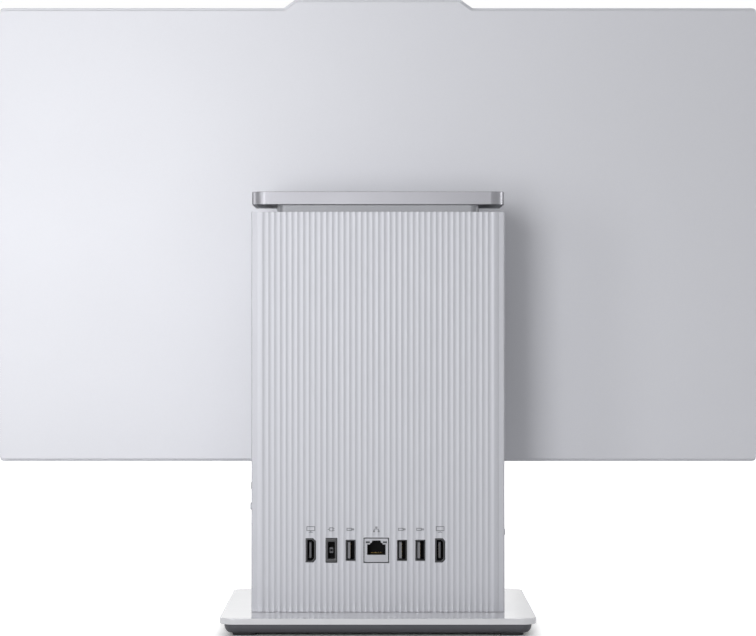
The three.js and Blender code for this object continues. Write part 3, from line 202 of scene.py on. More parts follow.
def softBox(name, span, radius, edge, axis="Y", steps=4):
    # a block whose corners along the axis and whose end edges are rounded
    x, y, z = span[0:2], span[2:4], span[4:6]
    across, up, along = {"X": (y, z, x), "Y": (x, z, y), "Z": (x, y, z)}[axis]
    return prism(name, axis, roundedOutline(*across, *up, radius, steps), *along, edge, edge, steps)


def applyModifiers(piece):
    graph = bpy.context.evaluated_depsgraph_get()
    mesh = bpy.data.meshes.new_from_object(piece.evaluated_get(graph))
    old = piece.data
    piece.modifiers.clear()
    piece.data = mesh
    bpy.data.meshes.remove(old)


def removePiece(piece):
    mesh = piece.data
    bpy.data.objects.remove(piece)
    bpy.data.meshes.remove(mesh)


def shaped(piece, tools, operation="DIFFERENCE"):
    # the piece cut by, or joined with, the tools
    for tool in tools:
        modifier = piece.modifiers.new("shape", "BOOLEAN")
        modifier.operation = operation
        modifier.solver = "EXACT"
        modifier.object = tool
    applyModifiers(piece)
    for tool in tools:
        removePiece(tool)
    return piece


def assembled(name, parts):
    # one piece from several, each with its own material
    work = bmesh.new()
    for index, (part, _) in enumerate(parts):
        start = len(work.faces)
        work.from_mesh(part.data)
        work.faces.ensure_lookup_table()
        for face in work.faces[start:]:
            face.material_index = index
    mesh = bpy.data.meshes.new(name)
    work.to_mesh(mesh)
    work.free()
    for part, material in parts:
        mesh.materials.append(material)
        removePiece(part)
    piece = bpy.data.objects.new(name, mesh)
    bpy.context.scene.collection.objects.link(piece)
    return piece


def finished(piece, body, material=None, stands=(), smooth=35):
    # the piece with its material, shading and body, with the CAD nodes that it stands for hidden
    if material:
        piece.data.materials.clear()
        piece.data.materials.append(material)
    piece.data.shade_smooth()
    piece.data.set_sharp_from_angle(angle=math.radians(smooth))
    normals = piece.modifiers.new("normals", "WEIGHTED_NORMAL")
    normals.keep_sharp = True
    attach(piece, body)
    if stands:
        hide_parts(*stands)


# Camera, floor and light

view = {
    "distance": 1.807,  # metres behind the origin
    "height": 0.208,
    "lens": 125,
    "sensor": 36,
}


def addCamera():
    data = bpy.data.cameras.new("camera")
    data.lens = view["lens"]
    data.sensor_width = view["sensor"]
    camera = bpy.data.objects.new("camera", data)
    camera.location = (0, view["distance"], view["height"])
    camera.rotation_euler = (math.radians(90), 0, math.radians(180))
    bpy.context.scene.collection.objects.link(camera)
    bpy.context.scene.camera = camera


addCamera()

lamps = {
    # metres and watts: the two rim lamps graze the cap's corners from the sides
    "key": {"place": (0.42, 1.85, 0.34), "target": (0.0, -0.05, 0.27), "size": (0.4, 0.9), "power": 12.8},
    "side": {"place": (0.95, 1.35, 0.35), "target": (0.0, -0.05, 0.27), "size": (0.3, 0.6), "power": 3.6},
    "rimLeft": {"place": (1.2, -0.3, 0.45), "target": (0.08, 0.03, 0.27), "size": (0.4, 0.45), "power": 2.5},
    "rimRight": {"place": (-1.25, -0.28, 0.45), "target": (-0.08, 0.03, 0.27), "size": (0.4, 0.45),
                 "power": 3.2},
    "top": {"place": (0.0, 0.0, 3.0), "target": (0.0, 0.0, 0.0), "size": (6.0, 6.0), "power": 37.0},
    "front": {"place": (0.43, -1.8, 0.83), "target": (0.0, -0.05, 0.25), "size": (1.4, 1.2), "power": 3.4},
}
worldLevel = 0.1


def addLamp(name, values):
    data = bpy.data.lights.new(name, "AREA")
    data.shape = "RECTANGLE"
    data.size, data.size_y = values["size"]
    data.energy = values["power"]
    lamp = bpy.data.objects.new(name, data)
    lamp.location = values["place"]
    aim = Vector(values["target"]) - Vector(values["place"])
    lamp.rotation_euler = aim.to_track_quat("-Z", "Y").to_euler()
    lamp.visible_camera = False
    bpy.context.scene.collection.objects.link(lamp)


for lampName, lampValues in lamps.items():
    addLamp(lampName, lampValues)


def seenRays(tree):
    # 1 for rays that show the background: straight, mirrored or through glass
    rays = addNode(tree, "ShaderNodeLightPath")
    seen = addNode(tree, "ShaderNodeMath", {"operation": "MAXIMUM"},
                   {0: rays.outputs["Is Camera Ray"], 1: rays.outputs["Is Glossy Ray"]})
    clear = addNode(tree, "ShaderNodeMath", {"operation": "MAXIMUM"},
                    {0: seen.outputs[0], 1: rays.outputs["Is Transmission Ray"]})
    return clear.outputs[0]


def addWorld():
    world = bpy.data.worlds.new("studio")
    world.use_nodes = True
    tree = world.node_tree
    tree.nodes.clear()
    light = addNode(tree, "ShaderNodeBackground", {}, {"Color": srgb("#ffffff"), "Strength": worldLevel})
    white = addNode(tree, "ShaderNodeBackground", {}, {"Color": srgb("#ffffff"), "Strength": 1.0})
    mixed = addNode(tree, "ShaderNodeMixShader", {},
                    {0: seenRays(tree), 1: light.outputs[0], 2: white.outputs[0]})
    addNode(tree, "ShaderNodeOutputWorld", {}, {"Surface": mixed.outputs[0]})
    bpy.context.scene.world = world
    bpy.context.scene.view_settings.view_transform = "Standard"


addWorld()

floorShape = {
    "reach": 12.0,
    "seen": "#ffffff",  # to the camera and in reflections
    "bounce": "#ececec",  # as a source of light from below
    "rough": 0.9,
    "glow": 0.7,  # the background's own white, shown to the same rays
    "farGlow": 0.3,  # what is added far from the object
    "farReach": (0.35, 1.2),
    "shadeHalf": (0.095, 0.087),  # the floor under the base has no glow
    "shadeEdge": 0.015,
}


def addFloor():
    reach = floorShape["reach"]
    corners = [(-reach, -reach, 0), (reach, -reach, 0), (reach, reach, 0), (-reach, reach, 0)]
    floor = meshPiece("floor", corners, [(0, 1, 2, 3)])
    material, tree, shader = newMaterial("matt white studio floor")
    seen = seenRays(tree)
    colour = addNode(tree, "ShaderNodeMix", {"data_type": "RGBA"}, {
        "Factor": seen, 6: srgb(floorShape["bounce"]), 7: srgb(floorShape["seen"])})
    place = addNode(tree, "ShaderNodeNewGeometry")
    parts = addNode(tree, "ShaderNodeSeparateXYZ", {}, {0: place.outputs["Position"]})
    past = []
    for i in range(2):
        size = addNode(tree, "ShaderNodeMath", {"operation": "ABSOLUTE"}, {0: parts.outputs[i]})
        past.append(addNode(tree, "ShaderNodeMath", {"operation": "SUBTRACT"},
                            {0: size.outputs[0], 1: floorShape["shadeHalf"][i]}))
    outside = addNode(tree, "ShaderNodeMath", {"operation": "MAXIMUM"},
                      {0: past[0].outputs[0], 1: past[1].outputs[0]})
    share = addNode(tree, "ShaderNodeMapRange", {}, {
        "Value": outside.outputs[0], "From Min": 0.0, "From Max": floorShape["shadeEdge"],
        "To Min": 0.0, "To Max": floorShape["glow"]})
    far = addNode(tree, "ShaderNodeMapRange", {}, {
        "Value": outside.outputs[0], "From Min": floorShape["farReach"][0],
        "From Max": floorShape["farReach"][1], "To Min": 0.0, "To Max": floorShape["farGlow"]})
    both = addNode(tree, "ShaderNodeMath", {"operation": "ADD"},
                   {0: share.outputs["Result"], 1: far.outputs["Result"]})
    glow = addNode(tree, "ShaderNodeMath", {"operation": "MULTIPLY"}, {0: seen, 1: both.outputs[0]})
    tree.links.new(colour.outputs[2], shader.inputs["Base Color"])
    tree.links.new(glow.outputs[0], shader.inputs["Emission Strength"])
    shader.inputs["Emission Color"].default_value = srgb("#ffffff")
    shader.inputs["Roughness"].default_value = floorShape["rough"]
    shader.inputs["Specular IOR Level"].default_value = 0.0
    floor.data.materials.append(material)


addFloor()
print("stage: camera, lamps and floor")


# Materials. Pattern sizes are in millimetres.

grainLook = {
    "detail": 3.0,
    "mottleDetail": 2.0,
    "contrast": 0.6,  # between the dark and the light colour
    "darkest": 0.2,
    "mottleRange": (0.3, 0.7),
}


def grainedMaterial(name, values):
    material, tree, shader = newMaterial(name)
    place = addNode(tree, "ShaderNodeTexCoord")
    stretched = addNode(tree, "ShaderNodeMapping", {},
                        {"Vector": place.outputs["Object"], "Scale": values.get("stretch", (1, 1, 1))})
    grain = addNode(tree, "ShaderNodeTexNoise", {}, {
        "Vector": stretched.outputs["Vector"], "Scale": 1 / (values["grain"] * mm),
        "Detail": grainLook["detail"]})
    mottle = addNode(tree, "ShaderNodeTexNoise", {}, {
        "Vector": place.outputs["Object"], "Scale": 1 / (values["mottle"] * mm),
        "Detail": grainLook["mottleDetail"]})
    both = addNode(tree, "ShaderNodeMath", {"operation": "MULTIPLY_ADD"},
                   {0: grain.outputs["Fac"], 1: grainLook["contrast"], 2: grainLook["darkest"]})
    colour = addNode(tree, "ShaderNodeMix", {"data_type": "RGBA"}, {
        "Factor": both.outputs[0], 6: srgb(values["dark"]), 7: srgb(values["light"])})
    rough = addNode(tree, "ShaderNodeMapRange", {}, {
        "Value": mottle.outputs["Fac"],
        "From Min": grainLook["mottleRange"][0], "From Max": grainLook["mottleRange"][1],
        "To Min": values["rough"][0], "To Max": values["rough"][1]})
    bump = addNode(tree, "ShaderNodeBump", {}, {
        "Strength": values["bump"], "Distance": values["depth"] * mm, "Height": grain.outputs["Fac"]})
    tree.links.new(colour.outputs[2], shader.inputs["Base Color"])
    tree.links.new(rough.outputs["Result"], shader.inputs["Roughness"])
    tree.links.new(bump.outputs["Normal"], shader.inputs["Normal"])
    shader.inputs["Metallic"].default_value = values.get("metallic", 0.0)
    if "specular" in values:
        shader.inputs["Specular IOR Level"].default_value = values["specular"]
    if "ior" in values:
        shader.inputs["IOR"].default_value = values["ior"]
    return material


# Satin silver paint on moulded ABS: an even pale grey with a soft sheen and a faint orange peel.
# The real flake is 0.05 mm, drawn at 0.7 mm so that it shows.
satinSilver = grainedMaterial("satin silver paint on moulded ABS", {
    "light": "#d0d1d7", "dark": "#c9cad0", "grain": 0.7, "mottle": 60, "rough": (0.425, 0.435),
    "bump": 0.15, "depth": 0.02, "metallic": 0.22})

# The same paint on the fluted moulding, with more flake, drawn one shade deeper as painted shade; it follows
# the light.
flutedSilverShaded = grainedMaterial("satin silver paint on fluted ABS", {
    "light": "#aeafb5", "dark": "#a8a9af", "grain": 0.7, "mottle": 50, "rough": (0.44, 0.45),
    "bump": 0.15, "depth": 0.02, "metallic": 0.4})

# Bead-blasted and anodised aluminium: a metal with a fine matt grain that blurs what it mirrors.
blastedAluminium = grainedMaterial("bead-blasted anodised aluminium", {
    "light": "#8a8a8f", "dark": "#838388", "grain": 0.6, "mottle": 40, "rough": (0.34, 0.4),
    "bump": 0.2, "depth": 0.02, "metallic": 0.75})

# Smooth satin paint on the base plate: lighter and glossier, so the column shows softly in it.
basePaint = grainedMaterial("smooth satin paint on pressed steel", {
    "light": "#dedee2", "dark": "#d8d9dd", "grain": 0.8, "mottle": 70, "rough": (0.14, 0.2),
    "bump": 0.1, "depth": 0.01, "metallic": 0.15})

# Satin grey paint on the neck: a mid grey step under the cap.
neckPaint = grainedMaterial("satin grey paint on moulded ABS", {
    "light": "#98999e", "dark": "#909196", "grain": 0.7, "mottle": 30, "rough": (0.43, 0.46),
    "bump": 0.15, "depth": 0.02, "metallic": 0.3})

# Spark-eroded dark grey ABS: a matt skin with a fine even grain.
darkPlastic = grainedMaterial("spark-eroded dark grey ABS", {
    "light": "#525359", "dark": "#46474c", "grain": 0.6, "mottle": 25, "rough": (0.5, 0.6),
    "bump": 0.4, "depth": 0.05})

# Black polycarbonate: smooth mouldings with a faint grain.
blackPlastic = grainedMaterial("moulded black polycarbonate", {
    "light": "#222327", "dark": "#1a1b1e", "grain": 0.5, "mottle": 20, "rough": (0.35, 0.45),
    "bump": 0.25, "depth": 0.03})

# Glass-filled nylon of the socket shells: black with grey edges where light catches it.
socketBlack = grainedMaterial("glass-filled black nylon", {
    "light": "#2b2c31", "dark": "#202125", "grain": 0.4, "mottle": 10, "rough": (0.3, 0.4),
    "bump": 0.2, "depth": 0.02})

# Painted shade: a near-black sheet laid on the floors and walls of the socket mouths, inside which hardly any
# light reaches.
mouthShadePaint = grainedMaterial("painted shade in socket mouths", {
    "light": "#0e0e11", "dark": "#08080a", "grain": 0.5, "mottle": 10, "rough": (0.5, 0.6),
    "bump": 0.1, "depth": 0.02, "specular": 0.1})

# Grey nylon of the socket tongues.
tongueGrey = grainedMaterial("moulded grey nylon", {
    "light": "#7b7c81", "dark": "#6c6d72", "grain": 0.4, "mottle": 10, "rough": (0.4, 0.5),
    "bump": 0.1, "depth": 0.02})

# Dark grey nylon of the video sockets' tongues.
tongueDark = grainedMaterial("moulded dark grey nylon", {
    "light": "#505156", "dark": "#46474b", "grain": 0.4, "mottle": 10, "rough": (0.4, 0.5),
    "bump": 0.1, "depth": 0.02})

# Nickel-plated steel of the network socket's shield: a grey metal with upright drawing lines.
nickel = grainedMaterial("nickel-plated pressed steel", {
    "light": "#909196", "dark": "#87888c", "grain": 0.5, "mottle": 12, "rough": (0.34, 0.42),
    "bump": 0.1, "depth": 0.01, "metallic": 0.8, "stretch": (1, 1, 0.2)})

# Gold flash on phosphor-bronze contacts: small warm glints in the mouths.
goldContact = grainedMaterial("gold-plated phosphor bronze", {
    "light": "#b59c66", "dark": "#a38b58", "grain": 0.3, "mottle": 5, "rough": (0.22, 0.3),
    "bump": 0.05, "depth": 0.01, "metallic": 1.0})

# Nitrile rubber of the feet: matt, close to black, with a dusty grain.
footRubber = grainedMaterial("moulded nitrile rubber", {
    "light": "#3a3b3d", "dark": "#2c2d2f", "grain": 0.7, "mottle": 8, "rough": (0.8, 0.92),
    "bump": 0.4, "depth": 0.05})

# Zinc-plated steel sheet: a cool metal with faint rolling lines.
zincSteel = grainedMaterial("zinc-plated steel sheet", {
    "light": "#a3a6ab", "dark": "#8b8e94", "grain": 0.8, "mottle": 15, "rough": (0.3, 0.42),
    "bump": 0.15, "depth": 0.02, "metallic": 0.95, "stretch": (0.15, 1, 1)})

# Drawn copper of the heat pipe: warm metal with lines along the draw.
drawnCopper = grainedMaterial("drawn copper", {
    "light": "#c98a5e", "dark": "#b0714a", "grain": 0.8, "mottle": 12, "rough": (0.26, 0.36),
    "bump": 0.1, "depth": 0.02, "metallic": 1.0, "stretch": (0.2, 1, 1)})

# Mill-finish aluminium of fins and light tray: pale metal with rolling lines.
millAluminium = grainedMaterial("mill-finish rolled aluminium", {
    "light": "#b9bbc0", "dark": "#a6a8ad", "grain": 0.8, "mottle": 14, "rough": (0.32, 0.42),
    "bump": 0.1, "depth": 0.02, "metallic": 1.0, "stretch": (1, 1, 0.15)})

# Black ink printed behind the glass round the picture: an even dark border.
bezelInk = grainedMaterial("black ink printed on glass", {
    "light": "#131417", "dark": "#0e0f11", "grain": 0.6, "mottle": 30, "rough": (0.3, 0.36),
    "bump": 0.05, "depth": 0.01})

# Anti-glare film over the dark panel: near black, with a fine matt grain that spreads the light.
antiGlare = grainedMaterial("anti-glare coated glass", {
    "light": "#0d0e12", "dark": "#0a0b0e", "grain": 0.5, "mottle": 80, "rough": (0.26, 0.32),
    "bump": 0.15, "depth": 0.01, "specular": 0.25})

# Pad-printed grey ink of the small marks over the sockets.
greyInk = grainedMaterial("pad-printed grey ink", {
    "light": "#7c7d81", "dark": "#737478", "grain": 0.3, "mottle": 5, "rough": (0.5, 0.6),
    "bump": 0.1, "depth": 0.01})

# Smoked polycarbonate of the little lamp windows: dark, with a small sharp highlight.
smokedLens = grainedMaterial("smoked polycarbonate", {
    "light": "#4a4c50", "dark": "#3c3e42", "grain": 0.4, "mottle": 5, "rough": (0.12, 0.18),
    "bump": 0.02, "depth": 0.01})

# Coated glass of the camera lens: nearly black, with a clear highlight.
lensGlass = grainedMaterial("coated optical glass", {
    "light": "#0c0a12", "dark": "#07070c", "grain": 2.0, "mottle": 5, "rough": (0.03, 0.06),
    "bump": 0.0, "depth": 0.01, "ior": 1.6})

boardLook = {
    "trackField": 6.4,  # a field of real tracks, which are too fine to show
    "trackWidth": 0.03,  # as a share of the field
    "mask": ("#1c3f2b", "#183726"),
    "track": "#3f7a55",
    "speckle": 0.8,
    "rough": (0.35, 0.5),
    "bump": 0.3,
    "depth": 0.03,
}


# Glass-fibre board under green solder mask: copper tracks show through as lighter green lines.
def boardMaterial():
    material, tree, shader = newMaterial("green solder mask on glass-fibre board")
    place = addNode(tree, "ShaderNodeTexCoord")
    turned = addNode(tree, "ShaderNodeMapping", {}, {
        "Vector": place.outputs["Object"], "Rotation": (math.pi / 2, 0, 0)})
    tracks = addNode(tree, "ShaderNodeTexBrick", {"offset": 0.37, "squash": 0.6}, {
        "Vector": turned.outputs["Vector"], "Scale": 1 / (boardLook["trackField"] * mm),
        "Mortar Size": boardLook["trackWidth"], "Mortar": srgb(boardLook["track"]),
        "Color1": srgb(boardLook["mask"][0]), "Color2": srgb(boardLook["mask"][1])})
    speckle = addNode(tree, "ShaderNodeTexNoise", {}, {
        "Vector": place.outputs["Object"], "Scale": 1 / (boardLook["speckle"] * mm)})
    bump = addNode(tree, "ShaderNodeBump", {}, {
        "Strength": boardLook["bump"], "Distance": boardLook["depth"] * mm, "Height": tracks.outputs["Fac"]})
    rough = addNode(tree, "ShaderNodeMapRange", {}, {
        "Value": speckle.outputs["Fac"],
        "To Min": boardLook["rough"][0], "To Max": boardLook["rough"][1]})
    tree.links.new(tracks.outputs["Color"], shader.inputs["Base Color"])
    tree.links.new(rough.outputs["Result"], shader.inputs["Roughness"])
    tree.links.new(bump.outputs["Normal"], shader.inputs["Normal"])
    return material


slotMaterials = {
    "silver_shell": satinSilver, "fluted_shell": flutedSilverShaded, "cap_metal": blastedAluminium,
    "base_metal": basePaint, "neck_shell": neckPaint, "dark_plastic": darkPlastic,
    "black_plastic": blackPlastic, "foot_rubber": footRubber, "screen_surface": antiGlare,
    "steel_sheet": zincSteel, "socket_metal": nickel, "socket_plastic": socketBlack,
    "circuit_board": boardMaterial(), "copper_metal": drawnCopper, "fin_metal": millAluminium,
}


def dressFrame():
    # every carried-over CAD node gets the material of its slot
    for row in frame["record"]["subparts"]:
        mesh = nodes[row["node"]].data
        mesh.materials.clear()
        mesh.materials.append(slotMaterials[row["material_slot"]])


dressFrame()
print("stage: materials")


# Base

basePlate = {"cornerRadius": 10 * mm, "lowEdge": 0.3 * mm, "topEdge": 0.4 * mm}


def addBasePlate():
    outline = nodeOutline("Z", "base_top_plate", 0, basePlate["cornerRadius"], 14)
    z0, z1 = nodeSpan("base_top_plate")[4:]
    plate = prism("base_plate_skin", "Z", outline, z0, z1, basePlate["lowEdge"], basePlate["topEdge"], 5)
    finished(plate, "stand", basePaint, ["base_top_plate"])


# as shares of the head's radius, and of its height for the depth
screwShape = {"edge": 0.2, "slotWidth": 0.26, "slotLength": 1.24, "slotDepth": 0.6}


def screwHead(axis, u, v, low, high, radius, outward):
    # a rounded head with a cross in its outer end
    edge = radius * screwShape["edge"]
    head = prism("part", axis, circleOutline(u, v, radius, 28), low, high,
                 edge if outward < 0 else 0, edge if outward > 0 else 0)
    depth = (high - low) * screwShape["slotDepth"]
    w0, w1 = (high - depth, high + past) if outward > 0 else (low - past, low + depth)
    slim, long = radius * screwShape["slotWidth"], radius * screwShape["slotLength"]
    cross = [prism("cut", axis, centredOutline(u, v, wide, tall, slim / 4, 2), w0, w1)
             for wide, tall in ((slim, long), (long, slim))]
    return shaped(head, cross)


footNames = ["foot_front_left", "foot_front_right", "foot_rear_left", "foot_rear_right"]
footPad = {
    "cornerRadius": 4 * mm,
    "lowEdge": 0.5 * mm,
    "topEdge": 0.2 * mm,
    "grooves": 4,
    "grooveInset": 2.5 * mm,
    "grooveDepth": 0.35 * mm,
    "grooveWidth": 0.8 * mm,
    "grooveCorner": 0.35 * mm,
}
baseTray = {
    "levels": 10,
    "taper": 4.3 * mm,
    "bulge": 2.2,  # how long the sides stay steep
    "cornerRadius": 7 * mm,
    "footGap": 0.3 * mm,
    "footRoom": 0.2 * mm,
    "screwInset": 30 * mm,
    "sinkRadius": 3.2 * mm,
    "sinkDepth": 0.8 * mm,
    "screwRadius": 2.8 * mm,
    "screwLow": 0.1 * mm,
    "screwHigh": 0.85 * mm,
}


def addTray():
    x0, x1, y0, y1, z0, z1 = nodeSpan("base_tray")
    outline = nodeOutline("Z", "base_tray", 0, baseTray["cornerRadius"], 12)
    rings = []
    for step in range(baseTray["levels"] + 1):
        share = step / baseTray["levels"]
        inset = baseTray["taper"] * (1 - math.sqrt(1 - (1 - share) ** baseTray["bulge"]))
        rings.append(ringAt("Z", insetOutline(outline, inset), z0 + share * (z1 - z0)))
    tray = lofted("base_tray_shell", rings)
    cuts = []
    for name in footNames:
        hole = nodeOutline("Z", name, baseTray["footGap"], footPad["cornerRadius"])
        cuts.append(prism("cut", "Z", hole, z0 - past, nodeSpan(name)[5] + baseTray["footRoom"]))
    inset = baseTray["screwInset"]
    places = [(x, y) for x in (x0 + inset, x1 - inset) for y in (y0 + inset, y1 - inset)]
    for x, y in places:
        cuts.append(prism("cut", "Z", circleOutline(x, y, baseTray["sinkRadius"]),
                          z0 - past, z0 + baseTray["sinkDepth"]))
    shaped(tray, cuts)
    finished(tray, "stand", darkPlastic, ["base_tray"])
    heads = [(screwHead("Z", x, y, z0 + baseTray["screwLow"], z0 + baseTray["screwHigh"],
                        baseTray["screwRadius"], -1), zincSteel) for x, y in places]
    finished(assembled("tray_screws", heads), "stand")


def addFeet():
    half = footPad["grooveWidth"] / 2
    for name in footNames:
        x0, x1, y0, y1, z0, z1 = nodeSpan(name)
        outline = nodeOutline("Z", name, 0, footPad["cornerRadius"])
        pad = prism(name + "_pad", "Z", outline, z0, z1, footPad["lowEdge"], footPad["topEdge"])
        cuts = []
        pitch = (y1 - y0) / (footPad["grooves"] + 1)
        for i in range(footPad["grooves"]):
            y = y0 + (i + 1) * pitch
            groove = (x0 + footPad["grooveInset"], x1 - footPad["grooveInset"], y - half, y + half,
                      z0 - past, z0 + footPad["grooveDepth"])
            cuts.append(softBox("cut", groove, footPad["grooveCorner"], 0, "Z"))
        shaped(pad, cuts)
        finished(pad, "stand", footRubber, [name])


addBasePlate()
addTray()
addFeet()
print("base: plate, tray and feet")


# Column

columnShell = {
    "wall": 2.2 * mm,
    "rearExtra": 0.9 * mm,  # the fluted wall is thicker
    "frontRadius": 3.3 * mm,
    "rearRadius": 0.8 * mm,
    "beadEnd": 80.6 * mm,  # a flat bead ends the flutes on each side
    "beadDrop": 0.22 * mm,
    "beadStep": 0.05 * mm,
    "stripDrop": 0.35 * mm,  # of the plain strip between bead and corner
    "fluteCount": 40,
    "flutePitch": 3.85 * mm,
    "fluteDepth": 0.14 * mm,
    "fluteSteps": 10,
    "socketGap": 0.25 * mm,
    "sideGap": 0.3 * mm,
    "sideCorner": 0.5 * mm,
    "holeCorner": 0.35 * mm,
    "holeSpan": (8 * mm, 2 * mm),  # of a rear socket's cut, inwards and outwards
}
columnX0, columnX1, shellFront, columnRear, columnFoot, columnTop = nodeSpan("column_rear_shell")
innerX = columnX1 - columnShell["wall"]
fluteField = columnShell["fluteCount"] * columnShell["flutePitch"] / 2  # half of the fluted width


def fluteSurface(x):
    # the fluted wall's outer face at a place across the column
    if abs(x) >= fluteField:
        return columnRear
    pitch = columnShell["flutePitch"]
    share = ((x + fluteField) % pitch) / pitch
    return columnRear - 4 * share * (1 - share) * columnShell["fluteDepth"]


def rearShellOutline():
    # half of the outline, from the middle of the rear wall to the side, and its mirror image
    total = columnShell["fluteCount"] * columnShell["fluteSteps"] // 2
    half = []
    for step in range(total + 1):
        x = step * fluteField / total
        half.append((x, fluteSurface(x)))
    beadEnd = columnShell["beadEnd"]
    for step in range(1, 7):
        share = step / 6
        half.append((fluteField + share * (beadEnd - fluteField),
                     columnRear - share ** 2 * columnShell["beadDrop"]))
    radius = columnShell["rearRadius"]
    stripRear = columnRear - columnShell["stripDrop"]
    half.append((beadEnd + columnShell["beadStep"], stripRear))
    for step in range(7):
        angle = (1 - step / 6) * math.pi / 2
        half.append((columnX1 - radius + radius * math.cos(angle),
                     stripRear - radius + radius * math.sin(angle)))
    innerRear = columnRear - columnShell["wall"] - columnShell["rearExtra"]
    half += [(columnX1, shellFront), (innerX, shellFront), (innerX, innerRear)]
    # anticlockwise: the right half from the inside out, then the left half from the outside in
    return half[::-1] + [(-x, y) for x, y in half[1:]]


rearSockets = ["video_socket_right", "power_inlet", "usb_socket_right", "network_socket",
               "usb_socket_middle", "usb_socket_left", "video_socket_left"]
socketGaps = {"network_socket": 0.5 * mm}  # round a socket, where it isn't the plain gap
videoShape = {
    "chamfer": 1.9 * mm,
    "mouthChamfer": 1.425 * mm,
    "rim": 0.95 * mm,
    "depth": 9 * mm,
    "round": 0.3 * mm,
    "tongueShift": 0.3 * mm,
    "tongueWidth": 1.5 * mm,
    "tongueHeight": 10.6 * mm,
    "tongueCorner": 0.3 * mm,
    "tongueRound": 0.25 * mm,
    "tongueBack": 1.6 * mm,  # behind the face
    "contacts": 9,
    "contactPitch": 1.0 * mm,
    "contactBack": 4.5 * mm,
    "contactHeight": 0.4 * mm,
    "contactSpan": (0.05 * mm, 0.1 * mm),  # into and out of the tongue's side
}


def videoOutline(name, grow, chamfer):
    # both left corners cut off, anticlockwise in x and z
    x0, x1, _, _, z0, z1 = nodeSpan(name)
    x0, x1, z0, z1 = x0 - grow, x1 + grow, z0 - grow, z1 + grow
    return [(x0 + chamfer, z0), (x1, z0), (x1, z1),
            (x0 + chamfer, z1), (x0, z1 - chamfer), (x0, z0 + chamfer)]


def socketHole(name):
    grow = socketGaps.get(name, columnShell["socketGap"])
    if name.startswith("video"):
        return videoOutline(name, grow, videoShape["chamfer"])
    return nodeOutline("Y", name, grow, columnShell["holeCorner"], 3)


sideLine = 46.5 * mm  # where the middles of all side features lie along y
sideFeatures = {
    # height of the middle over the desk, own height and depth, and how far a face stands out
    "side_usb_a_socket": {"z": 54.6 * mm, "tall": 13.6 * mm, "deep": 6.2 * mm, "proud": 0.3 * mm},
    "side_usb_c_socket": {"z": 70.5 * mm, "tall": 3.4 * mm, "deep": 9.2 * mm, "proud": 0.3 * mm},
    "power_button": {"z": 81.9 * mm, "tall": 4.5 * mm, "deep": 10 * mm},
    "audio_jack": {"z": 95.7 * mm, "tall": 5.2 * mm, "deep": 5.2 * mm, "proud": 0.6 * mm},
    "source_button": {"z": 64.7 * mm, "tall": 4 * mm, "deep": 8 * mm},
    "lock_slot_insert": {"z": 53.8 * mm, "tall": 4.4 * mm, "deep": 9 * mm},
}
lampWindow = {"z": 87.3 * mm, "hole": 1.0 * mm, "radius": 0.9 * mm, "sunk": 0.1 * mm, "edge": 0.2 * mm}


def sideOutline(name, grow=0.0):
    place = sideFeatures[name]
    tall = place["tall"] + 2 * grow
    deep = place["deep"] + 2 * grow
    if name in ("side_usb_a_socket", "lock_slot_insert"):
        return centredOutline(sideLine, place["z"], deep, tall, columnShell["sideCorner"], 4)
    if name == "audio_jack":
        return circleOutline(sideLine, place["z"], tall / 2, 40)
    return centredOutline(sideLine, place["z"], deep, tall, tall / 2 * 0.98, 10)


def addRearShell():
    shell = prism("column_fluted_shell", "Z", rearShellOutline(), columnFoot, columnTop)
    inwards, outwards = columnShell["holeSpan"]
    cuts = [prism("cut", "Y", socketHole(name), columnRear - inwards, columnRear + outwards)
            for name in rearSockets]
    for name in sideFeatures:
        side = 1 if nodeSpan(name)[0] > 0 else -1
        ends = sorted((side * (innerX - past), side * (columnX1 + past)))
        cuts.append(prism("cut", "X", sideOutline(name, columnShell["sideGap"]), *ends))
    lamp = circleOutline(sideLine, lampWindow["z"], lampWindow["hole"], 24)
    cuts.append(prism("cut", "X", lamp, columnX0 - past, -innerX + past))
    shaped(shell, cuts)
    finished(shell, "stand", flutedSilverShaded, ["column_rear_shell"], smooth=28)
    pane = circleOutline(sideLine, lampWindow["z"], lampWindow["radius"], 24)
    window = prism("status_lamp_window", "X", pane, columnX0 + lampWindow["sunk"],
                   -innerX - lampWindow["edge"], lampWindow["edge"], 0)
    finished(window, "stand", smokedLens)


def addFrontShell():
    _, _, y0, y1, z0, z1 = nodeSpan("column_front_shell")
    wall = columnShell["wall"]
    inner = [(columnX1, y1), (innerX, y1), (innerX, y0 + wall),
             (-innerX, y0 + wall), (-innerX, y1), (columnX0, y1)]
    outer = roundedOutline(columnX0, columnX1, y0, y1, columnShell["frontRadius"])
    shell = prism("column_front_cover", "Z", inner + outer[len(outer) // 2:], z0, z1)
    finished(shell, "stand", satinSilver, ["column_front_shell"])


addRearShell()
addFrontShell()
print("column: fluted shell and front cover")


# Head

grilleShape = {
    "cornerRadius": 1.2 * mm,
    "edge": 0.25 * mm,
    "neckGap": 0.3 * mm,
    "neckRadius": 6.3 * mm,
    "slots": 12,  # on each side of the neck
    "slotPitch": 4.6 * mm,
    "slotLength": 8 * mm,
    "slotWidth": 2.2 * mm,
    "slotRadius": 1.05 * mm,
}


